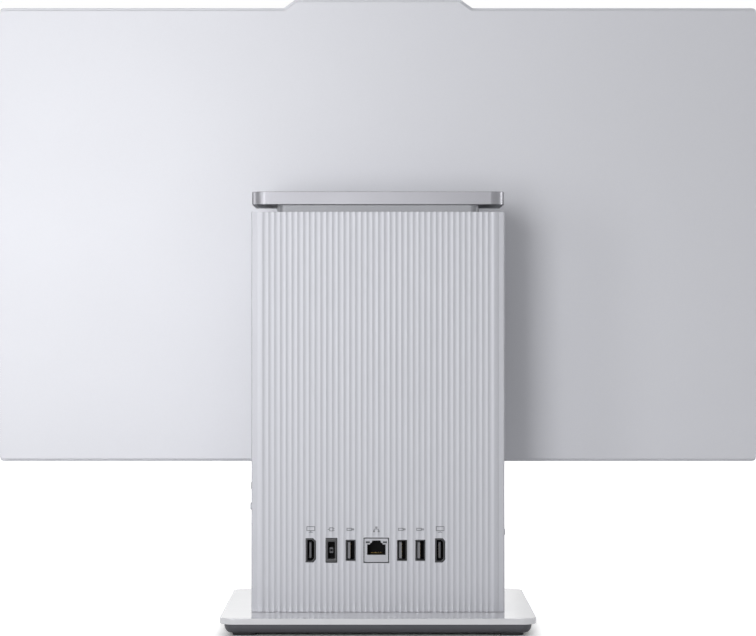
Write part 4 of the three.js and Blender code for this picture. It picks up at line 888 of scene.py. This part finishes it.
def addGrille():
    span = nodeSpan("top_grille")
    x1, z0, z1 = span[1], span[4], span[5]
    plate = softBox("top_grille_plate", span, grilleShape["cornerRadius"], grilleShape["edge"], "Z")
    gap = grilleShape["neckGap"]
    cuts = [prism("cut", "Z", nodeOutline("Z", "neck", gap, grilleShape["neckRadius"]), z0 - past, z1 + past)]
    slotX = (x1 + nodeSpan("neck")[1] + gap) / 2
    middleY = (nodeSpan("column_front_shell")[2] + columnRear) / 2
    for side in (-1, 1):
        for y in spread(middleY, grilleShape["slots"], grilleShape["slotPitch"]):
            slot = centredOutline(side * slotX, y, grilleShape["slotLength"], grilleShape["slotWidth"],
                                  grilleShape["slotRadius"], 4)
            cuts.append(prism("cut", "Z", slot, z0 - past, z1 + past))
    shaped(plate, cuts)
    finished(plate, "stand", darkPlastic, ["top_grille"])


neckShape = {"radius": 6 * mm, "padInset": 4 * mm, "shoulderGap": 0.08 * mm, "shoulderRound": 0.3 * mm}


def addNeck():
    z0, z1 = nodeSpan("neck")[4:]
    outline = nodeOutline("Z", "neck", 0, neckShape["radius"], 12)
    shoulder = nodeSpan("cap_plate")[4] - neckShape["shoulderGap"]
    inset, turn = neckShape["padInset"], neckShape["shoulderRound"]
    levels = [(z0, 0), (shoulder - turn, 0), (shoulder - 0.3 * turn, 0.3 * turn), (shoulder, turn),
              (shoulder, inset), (z1, inset)]
    rings = [ringAt("Z", insetOutline(outline, step), w) for w, step in levels]
    finished(lofted("neck_riser", rings), "stand", neckPaint, ["neck"])


capShape = {
    "cornerRadius": 9.4 * mm,
    "frontRadius": 2.5 * mm,
    "topEdge": 0.35 * mm,
    "lowEdge": 0.2 * mm,
    "wall": 1.5 * mm,
    "top": 2.6 * mm,
    "armGap": 0.3 * mm,
    "armLow": 0.2 * mm,
    "slotCorner": 0.4 * mm,
}


def addCap():
    _, _, y0, _, z0, z1 = nodeSpan("cap_plate")
    corner, front, wall = capShape["cornerRadius"], capShape["frontRadius"], capShape["wall"]
    outline = nodeOutline("Z", "cap_plate", 0, corner, 16, front)
    cap = prism("cap_shell", "Z", outline, z0, z1, capShape["lowEdge"], capShape["topEdge"], 5)
    hollow = nodeOutline("Z", "cap_plate", -wall, corner - wall, 12, front - wall)
    ax0, ax1, _, _, az0, az1 = nodeSpan("stand_arm")
    gap = capShape["armGap"]
    slot = (ax0 - gap, ax1 + gap, y0 - past, y0 + wall + past, az0 - capShape["armLow"], az1 + gap)
    cuts = [prism("cut", "Z", hollow, z0 - past, z1 - capShape["top"]),
            softBox("cut", slot, capShape["slotCorner"], 0)]
    shaped(cap, cuts)
    finished(cap, "stand", blastedAluminium, ["cap_plate"])


linerShape = {
    "cornerRadius": 7.3 * mm,
    "frontRadius": 0.8 * mm,
    "edge": 0.3 * mm,
    "neckInset": 3.7 * mm,
    "neckRadius": 6 * mm,
}


def addCapCover():
    z0, z1 = nodeSpan("cap_underside_cover")[4:]
    outline = nodeOutline("Z", "cap_underside_cover", 0, linerShape["cornerRadius"], 12,
                          linerShape["frontRadius"])
    cover = prism("cap_liner", "Z", outline, z0, z1, linerShape["edge"], 0)
    hole = nodeOutline("Z", "neck", -linerShape["neckInset"], linerShape["neckRadius"])
    shaped(cover, [prism("cut", "Z", hole, z0 - past, z1 + past)])
    finished(cover, "stand", satinSilver, ["cap_underside_cover"])


addGrille()
addNeck()
addCap()
addCapCover()
print("head: grille, neck, cap and its liner")


# Screen

screenShape = {
    "bumpLower": 135 * mm,
    "bumpUpper": 117.4 * mm,
    "bumpHeight": 6.3 * mm,
    "cornerRadius": 3 * mm,
    "bumpRound": 2.5 * mm,
    "insetTop": 2.6 * mm,  # of the back cover from the frame
    "insetBottom": 1.9 * mm,
    "insetSide": 0.8 * mm,
    "backRound": 0.7 * mm,
    "coverWall": 2.0 * mm,
    "seam": 0.4 * mm,
}
_, frameX1, screenFront, frameRear, screenFoot, bumpTop = nodeSpan("front_frame")
coverFront, coverRear = nodeSpan("back_cover")[2:4]
screenTop = bumpTop - screenShape["bumpHeight"]
coverInsets = [screenShape[key] for key in ("insetTop", "insetBottom", "insetSide")]


def arcTurn(points, before, here, after, radius, steps=5):
    # adds the corner here to the points, rounded
    a = (Vector(before) - Vector(here)).normalized()
    b = (Vector(after) - Vector(here)).normalized()
    reach = radius / math.tan(a.angle(b) / 2)
    start = Vector(here) + a * reach
    end = Vector(here) + b * reach
    for step in range(steps + 1):
        t = step / steps
        points.append(tuple((1 - t) ** 2 * start + 2 * t * (1 - t) * Vector(here) + t * t * end))


def screenRing(y, top, bottom, side):
    # the screen's outline with its camera bump at the place y, drawn in on each side
    x1 = frameX1 - side
    low = screenFoot + bottom
    high = screenTop - top
    lowerHalf = screenShape["bumpLower"] / 2
    upperHalf = screenShape["bumpUpper"] / 2
    height = screenShape["bumpHeight"]
    shift = top * math.tan(math.atan2(height, lowerHalf - upperHalf) / 2)
    corner, bump = screenShape["cornerRadius"], screenShape["bumpRound"]
    corners = [
        ((x1, high), corner),
        ((lowerHalf - shift, high), bump),
        ((upperHalf - shift, high + height), bump),
        ((shift - upperHalf, high + height), bump),
        ((shift - lowerHalf, high), bump),
        ((-x1, high), corner),
        ((-x1, low), corner),
        ((x1, low), corner),
    ]
    points = []
    for i, (here, radius) in enumerate(corners):
        arcTurn(points, corners[i - 1][0], here, corners[(i + 1) % len(corners)][0], radius)
    return ringAt("Y", points, y)


frameShape = {
    "edge": 0.35 * mm,
    "lip": 1.5 * mm,
    "seat": 1.6 * mm,  # of the frame's inner side from the cover's outer one
    "windowInset": 1.6 * mm,  # of the opening from the panel's edge
    "windowRadius": 0.4 * mm,
    "inkRim": 0.9 * mm,  # of silver round the sunk black border
    "inkSunk": 0.25 * mm,
    "inkBelow": 0.2 * mm,  # of black under the window
    "lensHole": 2.2 * mm,
    "knobGap": 0.3 * mm,
    "knobWay": 11 * mm,
    "knobRadius": 0.9 * mm,
    "flush": 0.05 * mm,  # how near a face must lie to the sunk border to be inked
}
knobShape = {"outer": 4 * mm, "inner": 2 * mm, "half": 0.7 * mm, "radius": 0.5 * mm, "edge": 0.2 * mm}
speakerMouth = {"count": 24, "width": 1.4 * mm, "front": 3 * mm, "rear": 6 * mm, "radius": 0.6 * mm}


def knobSpan():
    # the shutter's knob, which stands out of the frame
    _, x1, y0, y1, _, _ = nodeSpan("camera_shutter")
    middle = nodeMiddle("camera_shutter")[1]
    half = knobShape["half"]
    return x1 - knobShape["outer"], x1 - knobShape["inner"], y0, y1, middle - half, middle + half


def speakerSlots():
    cuts = []
    half = speakerMouth["width"] / 2
    for name in ("speaker_left", "speaker_right"):
        x0, x1, y0, _, z0, _ = nodeSpan(name)
        pitch = (x1 - x0) / speakerMouth["count"]
        for i in range(speakerMouth["count"]):
            x = x0 + (i + 0.5) * pitch
            slot = roundedOutline(x - half, x + half, y0 + speakerMouth["front"], y0 + speakerMouth["rear"],
                                  speakerMouth["radius"], 3)
            cuts.append(prism("cut", "Z", slot, screenFoot - past, z0))
    return cuts


def addFrontFrame():
    edge, lip = frameShape["edge"], frameShape["lip"]
    levels = roundedLevels(screenFront, frameRear, edge, edge)
    body = lofted("screen_frame", [screenRing(y, inset, inset, inset) for y, inset in levels])
    insets = [inset + frameShape["seat"] for inset in coverInsets]
    hollow = lofted("cut", [screenRing(screenFront + lip, *insets), screenRing(frameRear + past, *insets)])
    wx0, wx1, _, _, wz0, wz1 = nodeSpan("lcd_cell")
    margin = frameShape["windowInset"]
    window = roundedOutline(wx0 + margin, wx1 - margin, wz0 + margin, wz1 - margin,
                            frameShape["windowRadius"], 3)
    lens = circleOutline(0, nodeMiddle("camera_module")[1], frameShape["lensHole"], 40)
    kx0, kx1, _, _, kz0, kz1 = knobSpan()
    gap = frameShape["knobGap"]
    slot = roundedOutline(kx0 - frameShape["knobWay"] - gap, kx1 + gap, kz0 - gap, kz1 + gap,
                          frameShape["knobRadius"])
    window, lens, slot = (prism("cut", "Y", outline, screenFront - past, screenFront + lip + past)
                          for outline in (window, lens, slot))
    rim = frameShape["inkRim"]
    foot = wz0 - screenFoot + frameShape["inkBelow"]
    sunk = screenFront + frameShape["inkSunk"]
    recess = lofted("cut", [screenRing(screenFront - past, rim, foot, rim), screenRing(sunk, rim, foot, rim)])
    shaped(body, [hollow, window, recess, lens, slot] + speakerSlots())
    body.data.materials.clear()
    body.data.materials.append(satinSilver)
    body.data.materials.append(bezelInk)
    for face in body.data.polygons:
        inked = face.normal.y < -0.9 and abs(face.center.y - sunk) < frameShape["flush"]
        face.material_index = 1 if inked else 0
    finished(body, "screen", None, ["front_frame"])


def addBackCover():
    radius = screenShape["backRound"]
    wall = screenShape["coverWall"]
    rings = [screenRing(coverFront + screenShape["seam"], *coverInsets)]
    for step in range(8):
        angle = step / 7 * math.pi / 2
        inset = 0.7 * radius * (1 - math.cos(angle))
        rings.append(screenRing(coverRear - radius * (1 - math.sin(angle)),
                                *(size + inset for size in coverInsets)))
    cover = lofted("screen_back_cover", rings)
    insets = [size + wall for size in coverInsets]
    hollow = lofted("cut", [screenRing(coverFront - past, *insets), screenRing(coverRear - wall, *insets)])
    shaped(cover, [hollow])
    finished(cover, "screen", satinSilver, ["back_cover"])


panelShape = {"corner": 0.5 * mm, "edge": 0.1 * mm}


def addPanel():
    panel = softBox("panel_glass", nodeSpan("lcd_cell"), panelShape["corner"], panelShape["edge"])
    finished(panel, "screen", antiGlare, ["lcd_cell"])


webcamShape = {
    "sunk": 0.5 * mm,  # of the housing behind the barrel
    "radius": 0.8 * mm,
    "edge": 0.3 * mm,
    "barrel": {"radius": 2 * mm, "front": 0.05 * mm, "rear": 1.0 * mm, "edge": 0.2 * mm},
    "lens": {"radius": 1.2 * mm, "front": 0.0, "rear": 0.4 * mm, "edge": 0.15 * mm},
}


def addWebcam():
    x0, x1, y0, y1, z0, z1 = nodeSpan("camera_module")
    middle = (z0 + z1) / 2
    housing = softBox("part", (x0, x1, y0 + webcamShape["sunk"], y1, z0, z1), webcamShape["radius"],
                      webcamShape["edge"])
    parts = [(housing, blackPlastic)]
    for key, steps, material in (("barrel", 40, socketBlack), ("lens", 32, lensGlass)):
        size = webcamShape[key]
        disc = prism("part", "Y", circleOutline(0, middle, size["radius"], steps), y0 + size["front"],
                     y0 + size["rear"], size["edge"], 0)
        parts.append((disc, material))
    camera = assembled("webcam", parts)
    finished(camera, "screen", None, ["camera_module"])


bladeShape = {"thickness": 0.5 * mm, "radius": 1.0 * mm, "edge": 0.1 * mm}


def addShutter():
    x0, x1, _, y1, z0, z1 = nodeSpan("camera_shutter")
    kx0, kx1, ky0, _, kz0, kz1 = knobSpan()
    thickness = bladeShape["thickness"]
    blade = softBox("shutter_blade", (x0, x1, y1 - thickness, y1, z0, z1), bladeShape["radius"],
                    bladeShape["edge"])
    knob = softBox("part", (kx0, kx1, ky0, y1 - thickness / 2, kz0, kz1), knobShape["radius"],
                   knobShape["edge"])
    shaped(blade, [knob], "UNION")
    finished(blade, "shutter", blackPlastic, ["camera_shutter"])


addFrontFrame()
addBackCover()
addPanel()
addWebcam()
addShutter()
print("screen: frame, back cover, panel, webcam and shutter")


# Hinge

hoodShape = {
    "cornerRadius": 3 * mm,
    "edge": 0.8 * mm,
    "wall": 2 * mm,
    "innerRadius": 1.0 * mm,
    "armGap": 0.3 * mm,
    "slotRadius": 0.4 * mm,
}


def addHood():
    x0, x1, y0, y1, z0, z1 = nodeSpan("hinge_cover")
    wall, gap = hoodShape["wall"], hoodShape["armGap"]
    body = softBox("hinge_hood", (x0, x1, y0, y1, z0, z1), hoodShape["cornerRadius"], hoodShape["edge"],
                   "Y", 6)
    ax0, ax1, _, _, az0, az1 = nodeSpan("stand_arm")
    hollow = (x0 + wall, x1 - wall, y0 - past, y1 - wall, z0 + wall, az1 + gap)
    slot = (ax0 - gap, ax1 + gap, y1 - wall - past, y1 + past, az0 - gap, az1 + gap)
    shaped(body, [softBox("cut", hollow, hoodShape["innerRadius"], 0),
                  softBox("cut", slot, hoodShape["slotRadius"], 0)])
    finished(body, "stand", satinSilver, ["hinge_cover"])


bracketShape = {
    "axisY": -47 * mm,  # of the tilt axis
    "axisZ": 272 * mm,
    "boreRadius": 4.15 * mm,
    "earRadius": 8.5 * mm,
    "earPlace": 40 * mm,
    "earThickness": 4 * mm,
    "earCorner": 0.5 * mm,
    "plateThickness": 3 * mm,
    "plateAbove": 6 * mm,
    "cornerRadius": 4 * mm,
    "edge": 0.3 * mm,
    "screwRadius": 3.2 * mm,
    "screwRise": 1.4 * mm,
    "screwDrop": 17.5 * mm,
    "screwPlaces": (-42 * mm, -14 * mm, 14 * mm, 42 * mm),
}


def addBracket():
    x0, x1, y0, _, z0, _ = nodeSpan("hinge_bracket")
    size = bracketShape
    edge, corner = size["edge"], size["earCorner"]
    back = y0 + size["plateThickness"]
    top = size["axisZ"] + size["plateAbove"]
    plate = softBox("part", (x0, x1, y0, back, z0, top), size["cornerRadius"], edge, "Y", 6)
    tools = []
    bores = []
    for side in (-1, 1):
        ends = [side * size["earPlace"] + way * size["earThickness"] / 2 for way in (-1, 1)]
        web = (*ends, back - corner, size["axisY"], size["axisZ"] - size["earRadius"], top)
        tools.append(softBox("part", web, corner, edge, "X", 3))
        eye = circleOutline(size["axisY"], size["axisZ"], size["earRadius"], 48)
        tools.append(prism("part", "X", eye, *ends, edge, edge))
        hole = circleOutline(size["axisY"], size["axisZ"], size["boreRadius"], 32)
        bores.append(prism("cut", "X", hole, ends[0] - past, ends[1] + past))
    shaped(plate, tools, "UNION")
    shaped(plate, bores)
    parts = [(plate, zincSteel)]
    for x in size["screwPlaces"]:
        head = screwHead("Y", x, size["axisZ"] - size["screwDrop"], back - edge, back + size["screwRise"],
                         size["screwRadius"], 1)
        parts.append((head, millAluminium))
    finished(assembled("display_bracket_plate", parts), "screen", None, ["hinge_bracket"])


addHood()
addBracket()
print("hinge: hood and display bracket")


# Sockets

mouthShape = {
    "tongueRoot": 0.3 * mm,  # how far a tongue stands in the mouth's floor
    "contactRound": 0.05 * mm,
    "sheet": 0.1 * mm,  # of the thin sheet of painted shade on the floor
    "sheetGap": 0.02 * mm,
}


def socketShell(axis, outline, mouth, back, face, depth, edge):
    # a shell with a blind mouth, both edges of whose face are rounded
    low, mid = face - edge, face - edge * 0.3
    stops = [(outline, back), (outline, low), (insetOutline(outline, edge * 0.3), mid),
             (insetOutline(outline, edge), face), (insetOutline(mouth, -edge), face),
             (insetOutline(mouth, -edge * 0.3), mid), (mouth, low), (mouth, face - depth)]
    return lofted("part", [ringAt(axis, ring, w) for ring, w in stops])


def mouthFloorShade(axis, mouth, floor):
    # a thin near-black sheet of painted shade on the floor of a mouth, and its material
    outline = insetOutline(mouth, mouthShape["sheetGap"])
    return prism("part", axis, outline, floor, floor + mouthShape["sheet"]), mouthShadePaint


def socketParts(axis, outline, mouth, back, face, size, tongue, material):
    # a shell, the tongue or pin that stands in its mouth, and painted shade on the mouth's floor
    floor, turn = face - size["depth"], size["tongueRound"]
    shell = socketShell(axis, outline, mouth, back, face, size["depth"], size["round"])
    tongue = prism("part", axis, tongue, floor - mouthShape["tongueRoot"], face - size["tongueBack"],
                   turn, turn)
    return [(shell, socketBlack), (tongue, material), mouthFloorShade(axis, mouth, floor)]


def contactRow(axis, u0, u1, middle, face, size):
    # gold contacts from u0 to u1, spread about the middle
    half, turn = size["contactHeight"] / 2, mouthShape["contactRound"]
    parts = []
    for v in spread(middle, size["contacts"], size["contactPitch"]):
        outline = roundedOutline(u0, u1, v - half, v + half, turn, 2)
        contact = prism("part", axis, outline, face - size["depth"], face - size["contactBack"],
                        turn, turn, 2)
        parts.append((contact, goldContact))
    return parts


def socketPiece(node, parts, name=None):
    # one socket from its parts, in place of its CAD node
    finished(assembled(name or node + "_body", parts), "stand", None, [node])


def addVideoSocket(name):
    size = videoShape
    y0, y1 = nodeSpan(name)[2:4]
    middleX, middleZ = nodeMiddle(name)
    middleX += size["tongueShift"]
    outline = videoOutline(name, 0, size["chamfer"])
    mouth = videoOutline(name, -size["rim"], size["mouthChamfer"])
    tongue = centredOutline(middleX, middleZ, size["tongueWidth"], size["tongueHeight"],
                            size["tongueCorner"], 4)
    parts = socketParts("Y", outline, mouth, y0, y1, size, tongue, tongueDark)
    side = middleX + size["tongueWidth"] / 2
    sunk, proud = size["contactSpan"]
    socketPiece(name, parts + contactRow("Y", side - sunk, side + proud, middleZ, y1, size))


inletShape = {
    "corner": 0.5 * mm,
    "mouthWidth": 4.6 * mm,
    "mouthHeight": 11.1 * mm,
    "mouthCorner": 0.4 * mm,
    "round": 0.3 * mm,
    "depth": 9 * mm,
    "tongueWidth": 2.4 * mm,
    "tongueHeight": 3.8 * mm,
    "tongueCorner": 0.3 * mm,
    "tongueRound": 0.2 * mm,
    "tongueBack": 1.0 * mm,
    "bore": 0.9 * mm,
}


def addInlet():
    size = inletShape
    y0, y1 = nodeSpan("power_inlet")[2:4]
    middle = nodeMiddle("power_inlet")
    outline = nodeOutline("Y", "power_inlet", 0, size["corner"], 4)
    mouth = centredOutline(*middle, size["mouthWidth"], size["mouthHeight"], size["mouthCorner"], 4)
    pin = centredOutline(*middle, size["tongueWidth"], size["tongueHeight"], size["tongueCorner"], 4)
    parts = socketParts("Y", outline, mouth, y0, y1, size, pin, tongueDark)
    bore = circleOutline(*middle, size["bore"], 24)
    shaped(parts[1][0], [prism("cut", "Y", bore, y1 - size["depth"] + past, y1 + past)])
    socketPiece("power_inlet", parts)


usbShape = {
    "rim": 0.55 * mm,
    "corner": 0.35 * mm,
    "mouthCorner": 0.2 * mm,
    "round": 0.15 * mm,
    "depth": 10 * mm,
    "tongueSpan": (0.15 * mm, 1.95 * mm),  # the tongue's two sides from the socket's middle
    "tongueHeight": 11.1 * mm,
    "tongueBack": 0.8 * mm,
    "tongueRound": 0.2 * mm,
    "contacts": 4,
    "contactPitch": 2.5 * mm,
    "contactBack": 4.5 * mm,
    "contactHeight": 1.0 * mm,
    "contactSpan": (0.02 * mm, 0.2 * mm),  # out of and into the tongue's near side
}


def usbParts(axis, u, v, back, face, wide, tall):
    # a tall USB-A socket about (u, v), with its tongue on the +u side
    size = usbShape
    rim = 2 * size["rim"]
    outline = centredOutline(u, v, wide, tall, size["corner"], 3)
    mouth = centredOutline(u, v, wide - rim, tall - rim, size["mouthCorner"], 3)
    near, far = size["tongueSpan"]
    half = size["tongueHeight"] / 2
    tongue = roundedOutline(u + near, u + far, v - half, v + half, size["tongueRound"], 3)
    parts = socketParts(axis, outline, mouth, back, face, size, tongue, tongueGrey)
    proud, sunk = size["contactSpan"]
    return parts + contactRow(axis, u - proud, u + sunk, v, face, size)


def addRearUsb(name):
    x0, x1, y0, y1, z0, z1 = nodeSpan(name)
    socketPiece(name, usbParts("Y", *nodeMiddle(name), y0, y1, x1 - x0, z1 - z0))


networkShape = {
    "corner": 0.35 * mm,
    "edge": 0.2 * mm,
    "depth": 12 * mm,
    "width": 12.3 * mm,
    "height": 7 * mm,
    "foot": 4.9 * mm,
    "notchWidth": 6.5 * mm,
    "notchHeight": 2.6 * mm,
    "step": 1.0 * mm,  # between the mouth and the latch's notch
    "slant": 0.6 * mm,
    "skin": 0.15 * mm,  # of the sheets of painted shade along the mouth's walls
    "skinOverlap": 0.01 * mm,
    "skinRound": 0.05 * mm,
    "roofHalf": 3 * mm,
    "skinBack": 0.5 * mm,
    "contacts": 8,
    "contactPitch": 1.02 * mm,
    "contactBack": 6.5 * mm,
    "contactWidth": 0.4 * mm,
    "contactRise": (0.5 * mm, 1.0 * mm),
    "contactRound": 0.08 * mm,
    "lampPlace": 5.7 * mm,  # of the two lamp windows from the middle
    "lampDrop": 2.6 * mm,
    "lampWidth": 2.7 * mm,
    "lampHeight": 1.3 * mm,
    "lampCorner": 0.2 * mm,
    "lampDepth": 1.0 * mm,
    "lampProud": 0.05 * mm,
}


def networkWallShade(middle, low, top, floor, face):
    # thin near-black sheets along the walls of the mouth: painted shade
    size = networkShape
    half, skin, hair = size["width"] / 2, size["skin"], size["skinOverlap"]
    roof = top + size["notchHeight"]
    spans = [
        (middle - half - hair, middle - half + skin, floor, face, low, top),
        (middle + half - skin, middle + half + hair, floor, face, low, top),
        (middle - half, middle + half, floor, face, low - hair, low + skin),
        (middle - size["roofHalf"], middle + size["roofHalf"], floor, face, roof - skin, roof + hair),
    ]
    return [(softBox("part", span, size["skinRound"], 0, "Y", 2), mouthShadePaint) for span in spans]


def addNetworkSocket():
    y0, y1, z0, z1 = nodeSpan("network_socket")[2:]
    middle = nodeMiddle("network_socket")[0]
    size = networkShape
    low = z0 + size["foot"]
    top = low + size["height"]
    roof = top + size["notchHeight"]
    floor = y1 - size["depth"]
    shell = prism("part", "Y", nodeOutline("Y", "network_socket", 0, size["corner"], 4), y0, y1,
                  0, size["edge"])
    half, notch = size["width"] / 2, size["notchWidth"] / 2
    slant, step = size["slant"], size["step"]
    right = [(half, low), (half, top), (notch + step, top), (notch + step - slant / 2, top + step),
             (notch, top + step), (notch - slant, roof)]
    mouth = [(middle - half, low)] + [(middle + u, v) for u, v in right]
    mouth += [(middle - u, v) for u, v in right[:0:-1]]
    shaped(shell, [prism("cut", "Y", mouth, floor, y1 + past)])
    parts = [(shell, nickel), mouthFloorShade("Y", mouth, floor)]
    parts += networkWallShade(middle, low, top, floor, y1 - size["skinBack"])
    wide, turn = size["contactWidth"] / 2, size["contactRound"]
    bottom, crown = (low + rise for rise in size["contactRise"])
    for x in spread(middle, size["contacts"], size["contactPitch"]):
        span = (x - wide, x + wide, floor, y1 - size["contactBack"], bottom, crown)
        parts.append((softBox("part", span, turn, turn, "Y", 2), goldContact))
    for side in (-1, 1):
        lamp = centredOutline(middle + side * size["lampPlace"], z1 - size["lampDrop"], size["lampWidth"],
                              size["lampHeight"], size["lampCorner"], 4)
        proud = size["lampProud"]
        lens = prism("part", "Y", lamp, y1 - size["lampDepth"], y1 + proud, proud, proud)
        parts.append((lens, smokedLens))
    socketPiece("network_socket", parts)


for socketName in rearSockets:
    if socketName.startswith("video"):
        addVideoSocket(socketName)
    elif socketName.startswith("usb"):
        addRearUsb(socketName)
addInlet()
addNetworkSocket()
print("sockets: rear row")


# Marks over the sockets: a drawn screen, a plug and boxes joined by lines, in place of words

markShape = {
    "height": 14.0 * mm,  # above the sockets' middle
    "reach": 3.4 * mm,
    "skin": 0.04 * mm,
    "under": 0.5 * mm,  # how deep the ink's body lies under the wall's outermost line
    "steps": 80,
    "line": 0.55,  # this and the bars below in millimetres about a mark's middle
}


def markRing(x0, x1, z0, z1):
    # the four bars of a drawn box, each by its lowest and highest x and z
    line = markShape["line"]
    return [(x0, x1, z0, z0 + line), (x0, x1, z1 - line, z1),
            (x0, x0 + line, z0, z1), (x1 - line, x1, z0, z1)]


def markBars(name):
    line = markShape["line"] / 2
    if name.startswith("video"):
        return markRing(-2.9, 2.9, -1.1, 2.1) + [(-line, line, -1.9, -1.0), (-1.5, 1.5, -2.2, -1.8)]
    if name.startswith("usb"):
        return markRing(-2.7, 0.9, -1.0, 1.0) + markRing(0.7, 2.3, -0.65, 0.65)
    if name == "power_inlet":
        return markRing(-1.5, 1.3, -1.3, 1.3) + [(1.2, 2.2, 0.45, 0.85), (1.2, 2.2, -0.85, -0.45),
                                                 (-2.5, -1.4, -line, line)]
    boxes = markRing(-0.7, 0.7, 0.6, 1.9) + markRing(-2.2, -0.9, -1.9, -0.7) + markRing(0.9, 2.2, -1.9, -0.7)
    return boxes + [(-line, line, 0.0, 0.7), (-1.7, 1.7, -0.1, 0.3),
                    (-1.7, -1.3, -0.8, 0.0), (1.3, 1.7, -0.8, 0.0)]


def addMark(name):
    # ink that follows the flutes, cut to the mark's bars
    middleX, middleZ = nodeMiddle(name)
    middleZ += markShape["height"]
    reach, count = markShape["reach"], markShape["steps"]
    across = [middleX + reach - i * 2 * reach / count for i in range(count + 1)]
    outer = [(x, fluteSurface(x) + markShape["skin"]) for x in across]
    under = columnRear - markShape["under"]
    ink = prism(name + "_mark", "Z", outer + [(across[-1], under), (across[0], under)],
                middleZ - reach, middleZ + reach)
    bars = []
    for x0, x1, z0, z1 in markBars(name):
        corners = [(x0, z1), (x1, z1), (x1, z0), (x0, z0)]
        outline = [(middleX - u * mm, middleZ + v * mm) for u, v in corners]
        bars.append(prism("cut", "Y", outline, under - past, columnRear + past))
    stencil = shaped(bars[0], bars[1:], "UNION")
    shaped(ink, [stencil], "INTERSECT")
    finished(ink, "stand", greyInk)


for socketName in rearSockets:
    addMark(socketName)
print("marks: over the rear sockets")


# Sides

def addSideUsb():
    place = sideFeatures["side_usb_a_socket"]
    parts = usbParts("X", sideLine, place["z"], nodeSpan("side_usb_a_socket")[0],
                     columnX1 + place["proud"], place["deep"], place["tall"])
    socketPiece("side_usb_a_socket", parts, name="side_usb_a_body")


usbCShape = {
    "rim": 0.45 * mm,
    "round": 0.12 * mm,
    "depth": 7 * mm,
    "tongueDeep": 6.7 * mm,
    "tongueTall": 0.7 * mm,
    "tongueCorner": 0.2 * mm,
    "tongueRoot": 0.2 * mm,
    "tongueBack": 0.8 * mm,
    "tongueRound": 0.1 * mm,
}


def addSideUsbC():
    size = usbCShape
    place = sideFeatures["side_usb_c_socket"]
    x1 = columnX1 + place["proud"]
    outline = sideOutline("side_usb_c_socket")
    shell = socketShell("X", outline, sideOutline("side_usb_c_socket", -size["rim"]),
                        nodeSpan("side_usb_c_socket")[0], x1, size["depth"], size["round"])
    tongue = centredOutline(sideLine, place["z"], size["tongueDeep"], size["tongueTall"],
                            size["tongueCorner"], 4)
    tongue = prism("part", "X", tongue, x1 - size["depth"] - size["tongueRoot"], x1 - size["tongueBack"],
                   size["tongueRound"], size["tongueRound"])
    socketPiece("side_usb_c_socket", [(shell, nickel), (tongue, blackPlastic)],
                "side_usb_c_body")


jackShape = {
    "bore": 1.8 * mm,
    "round": 0.25 * mm,
    "depth": 12 * mm,
    "ring": (1.79 * mm, 1.6 * mm),  # a metal ring's outer and inner radius
    "ringSpan": (4 * mm, 0.8 * mm),  # behind the face
    "ringDepth": 3 * mm,
    "ringRound": 0.05 * mm,
}


def addAudioJack():
    size = jackShape
    place = sideFeatures["audio_jack"]
    face = columnX1 + place["proud"]
    radii = (place["tall"] / 2, size["bore"], *size["ring"])
    outer, bore, ringOuter, ringInner = (circleOutline(sideLine, place["z"], r, 40) for r in radii)
    shell = socketShell("X", outer, bore, nodeSpan("audio_jack")[0], face, size["depth"], size["round"])
    ring = socketShell("X", ringOuter, ringInner, face - size["ringSpan"][0], face - size["ringSpan"][1],
                       size["ringDepth"], size["ringRound"])
    socketPiece("audio_jack", [(shell, socketBlack), (ring, nickel)])


buttonShape = {"edge": 0.45 * mm, "flange": 1.2 * mm, "flangeEdge": 0.1 * mm, "wallGap": 0.3 * mm}


def addSideButton(name, body):
    # a rounded cap with a flange that keeps it behind the wall
    x0, x1 = nodeSpan(name)[:2]
    way = 1 if x0 > 0 else -1
    edge, flangeSize, rim = buttonShape["edge"], buttonShape["flange"], buttonShape["flangeEdge"]
    outline = sideOutline(name)
    cap = prism(name + "_cap", "X", outline, x0, x1, edge if way == -1 else 0, edge if way == 1 else 0, 5)
    near = way * (innerX - buttonShape["wallGap"])
    ends = sorted((near, near - way * flangeSize))
    flange = prism("part", "X", insetOutline(outline, -flangeSize), *ends, rim, rim)
    shaped(cap, [flange], "UNION")
    finished(cap, body, satinSilver, [name])


lockShape = {
    "edge": 0.25 * mm,
    "flange": 1.5 * mm,
    "flangeSpan": (0.3 * mm, 1.5 * mm),  # behind the wall
    "slotDeep": 7 * mm,
    "slotTall": 3 * mm,
    "slotRadius": 0.7 * mm,
}


def addLockSlot():
    x0, x1 = nodeSpan("lock_slot_insert")[:2]
    outline = sideOutline("lock_slot_insert")
    insert = prism("lock_slot_plate", "X", outline, x0, x1, lockShape["edge"], 0)
    ends = [-innerX + place for place in lockShape["flangeSpan"]]
    flange = prism("part", "X", insetOutline(outline, -lockShape["flange"]), *ends)
    shaped(insert, [flange], "UNION")
    slot = centredOutline(sideLine, sideFeatures["lock_slot_insert"]["z"], lockShape["slotDeep"],
                          lockShape["slotTall"], lockShape["slotRadius"])
    shaped(insert, [prism("cut", "X", slot, x0 - past, x1 + past)])
    finished(insert, "stand", zincSteel, ["lock_slot_insert"])


addSideUsb()
addSideUsbC()
addAudioJack()
addSideButton("power_button", "power_key")
addSideButton("source_button", "source_key")
addLockSlot()
print("sides: sockets, buttons and lock slot")
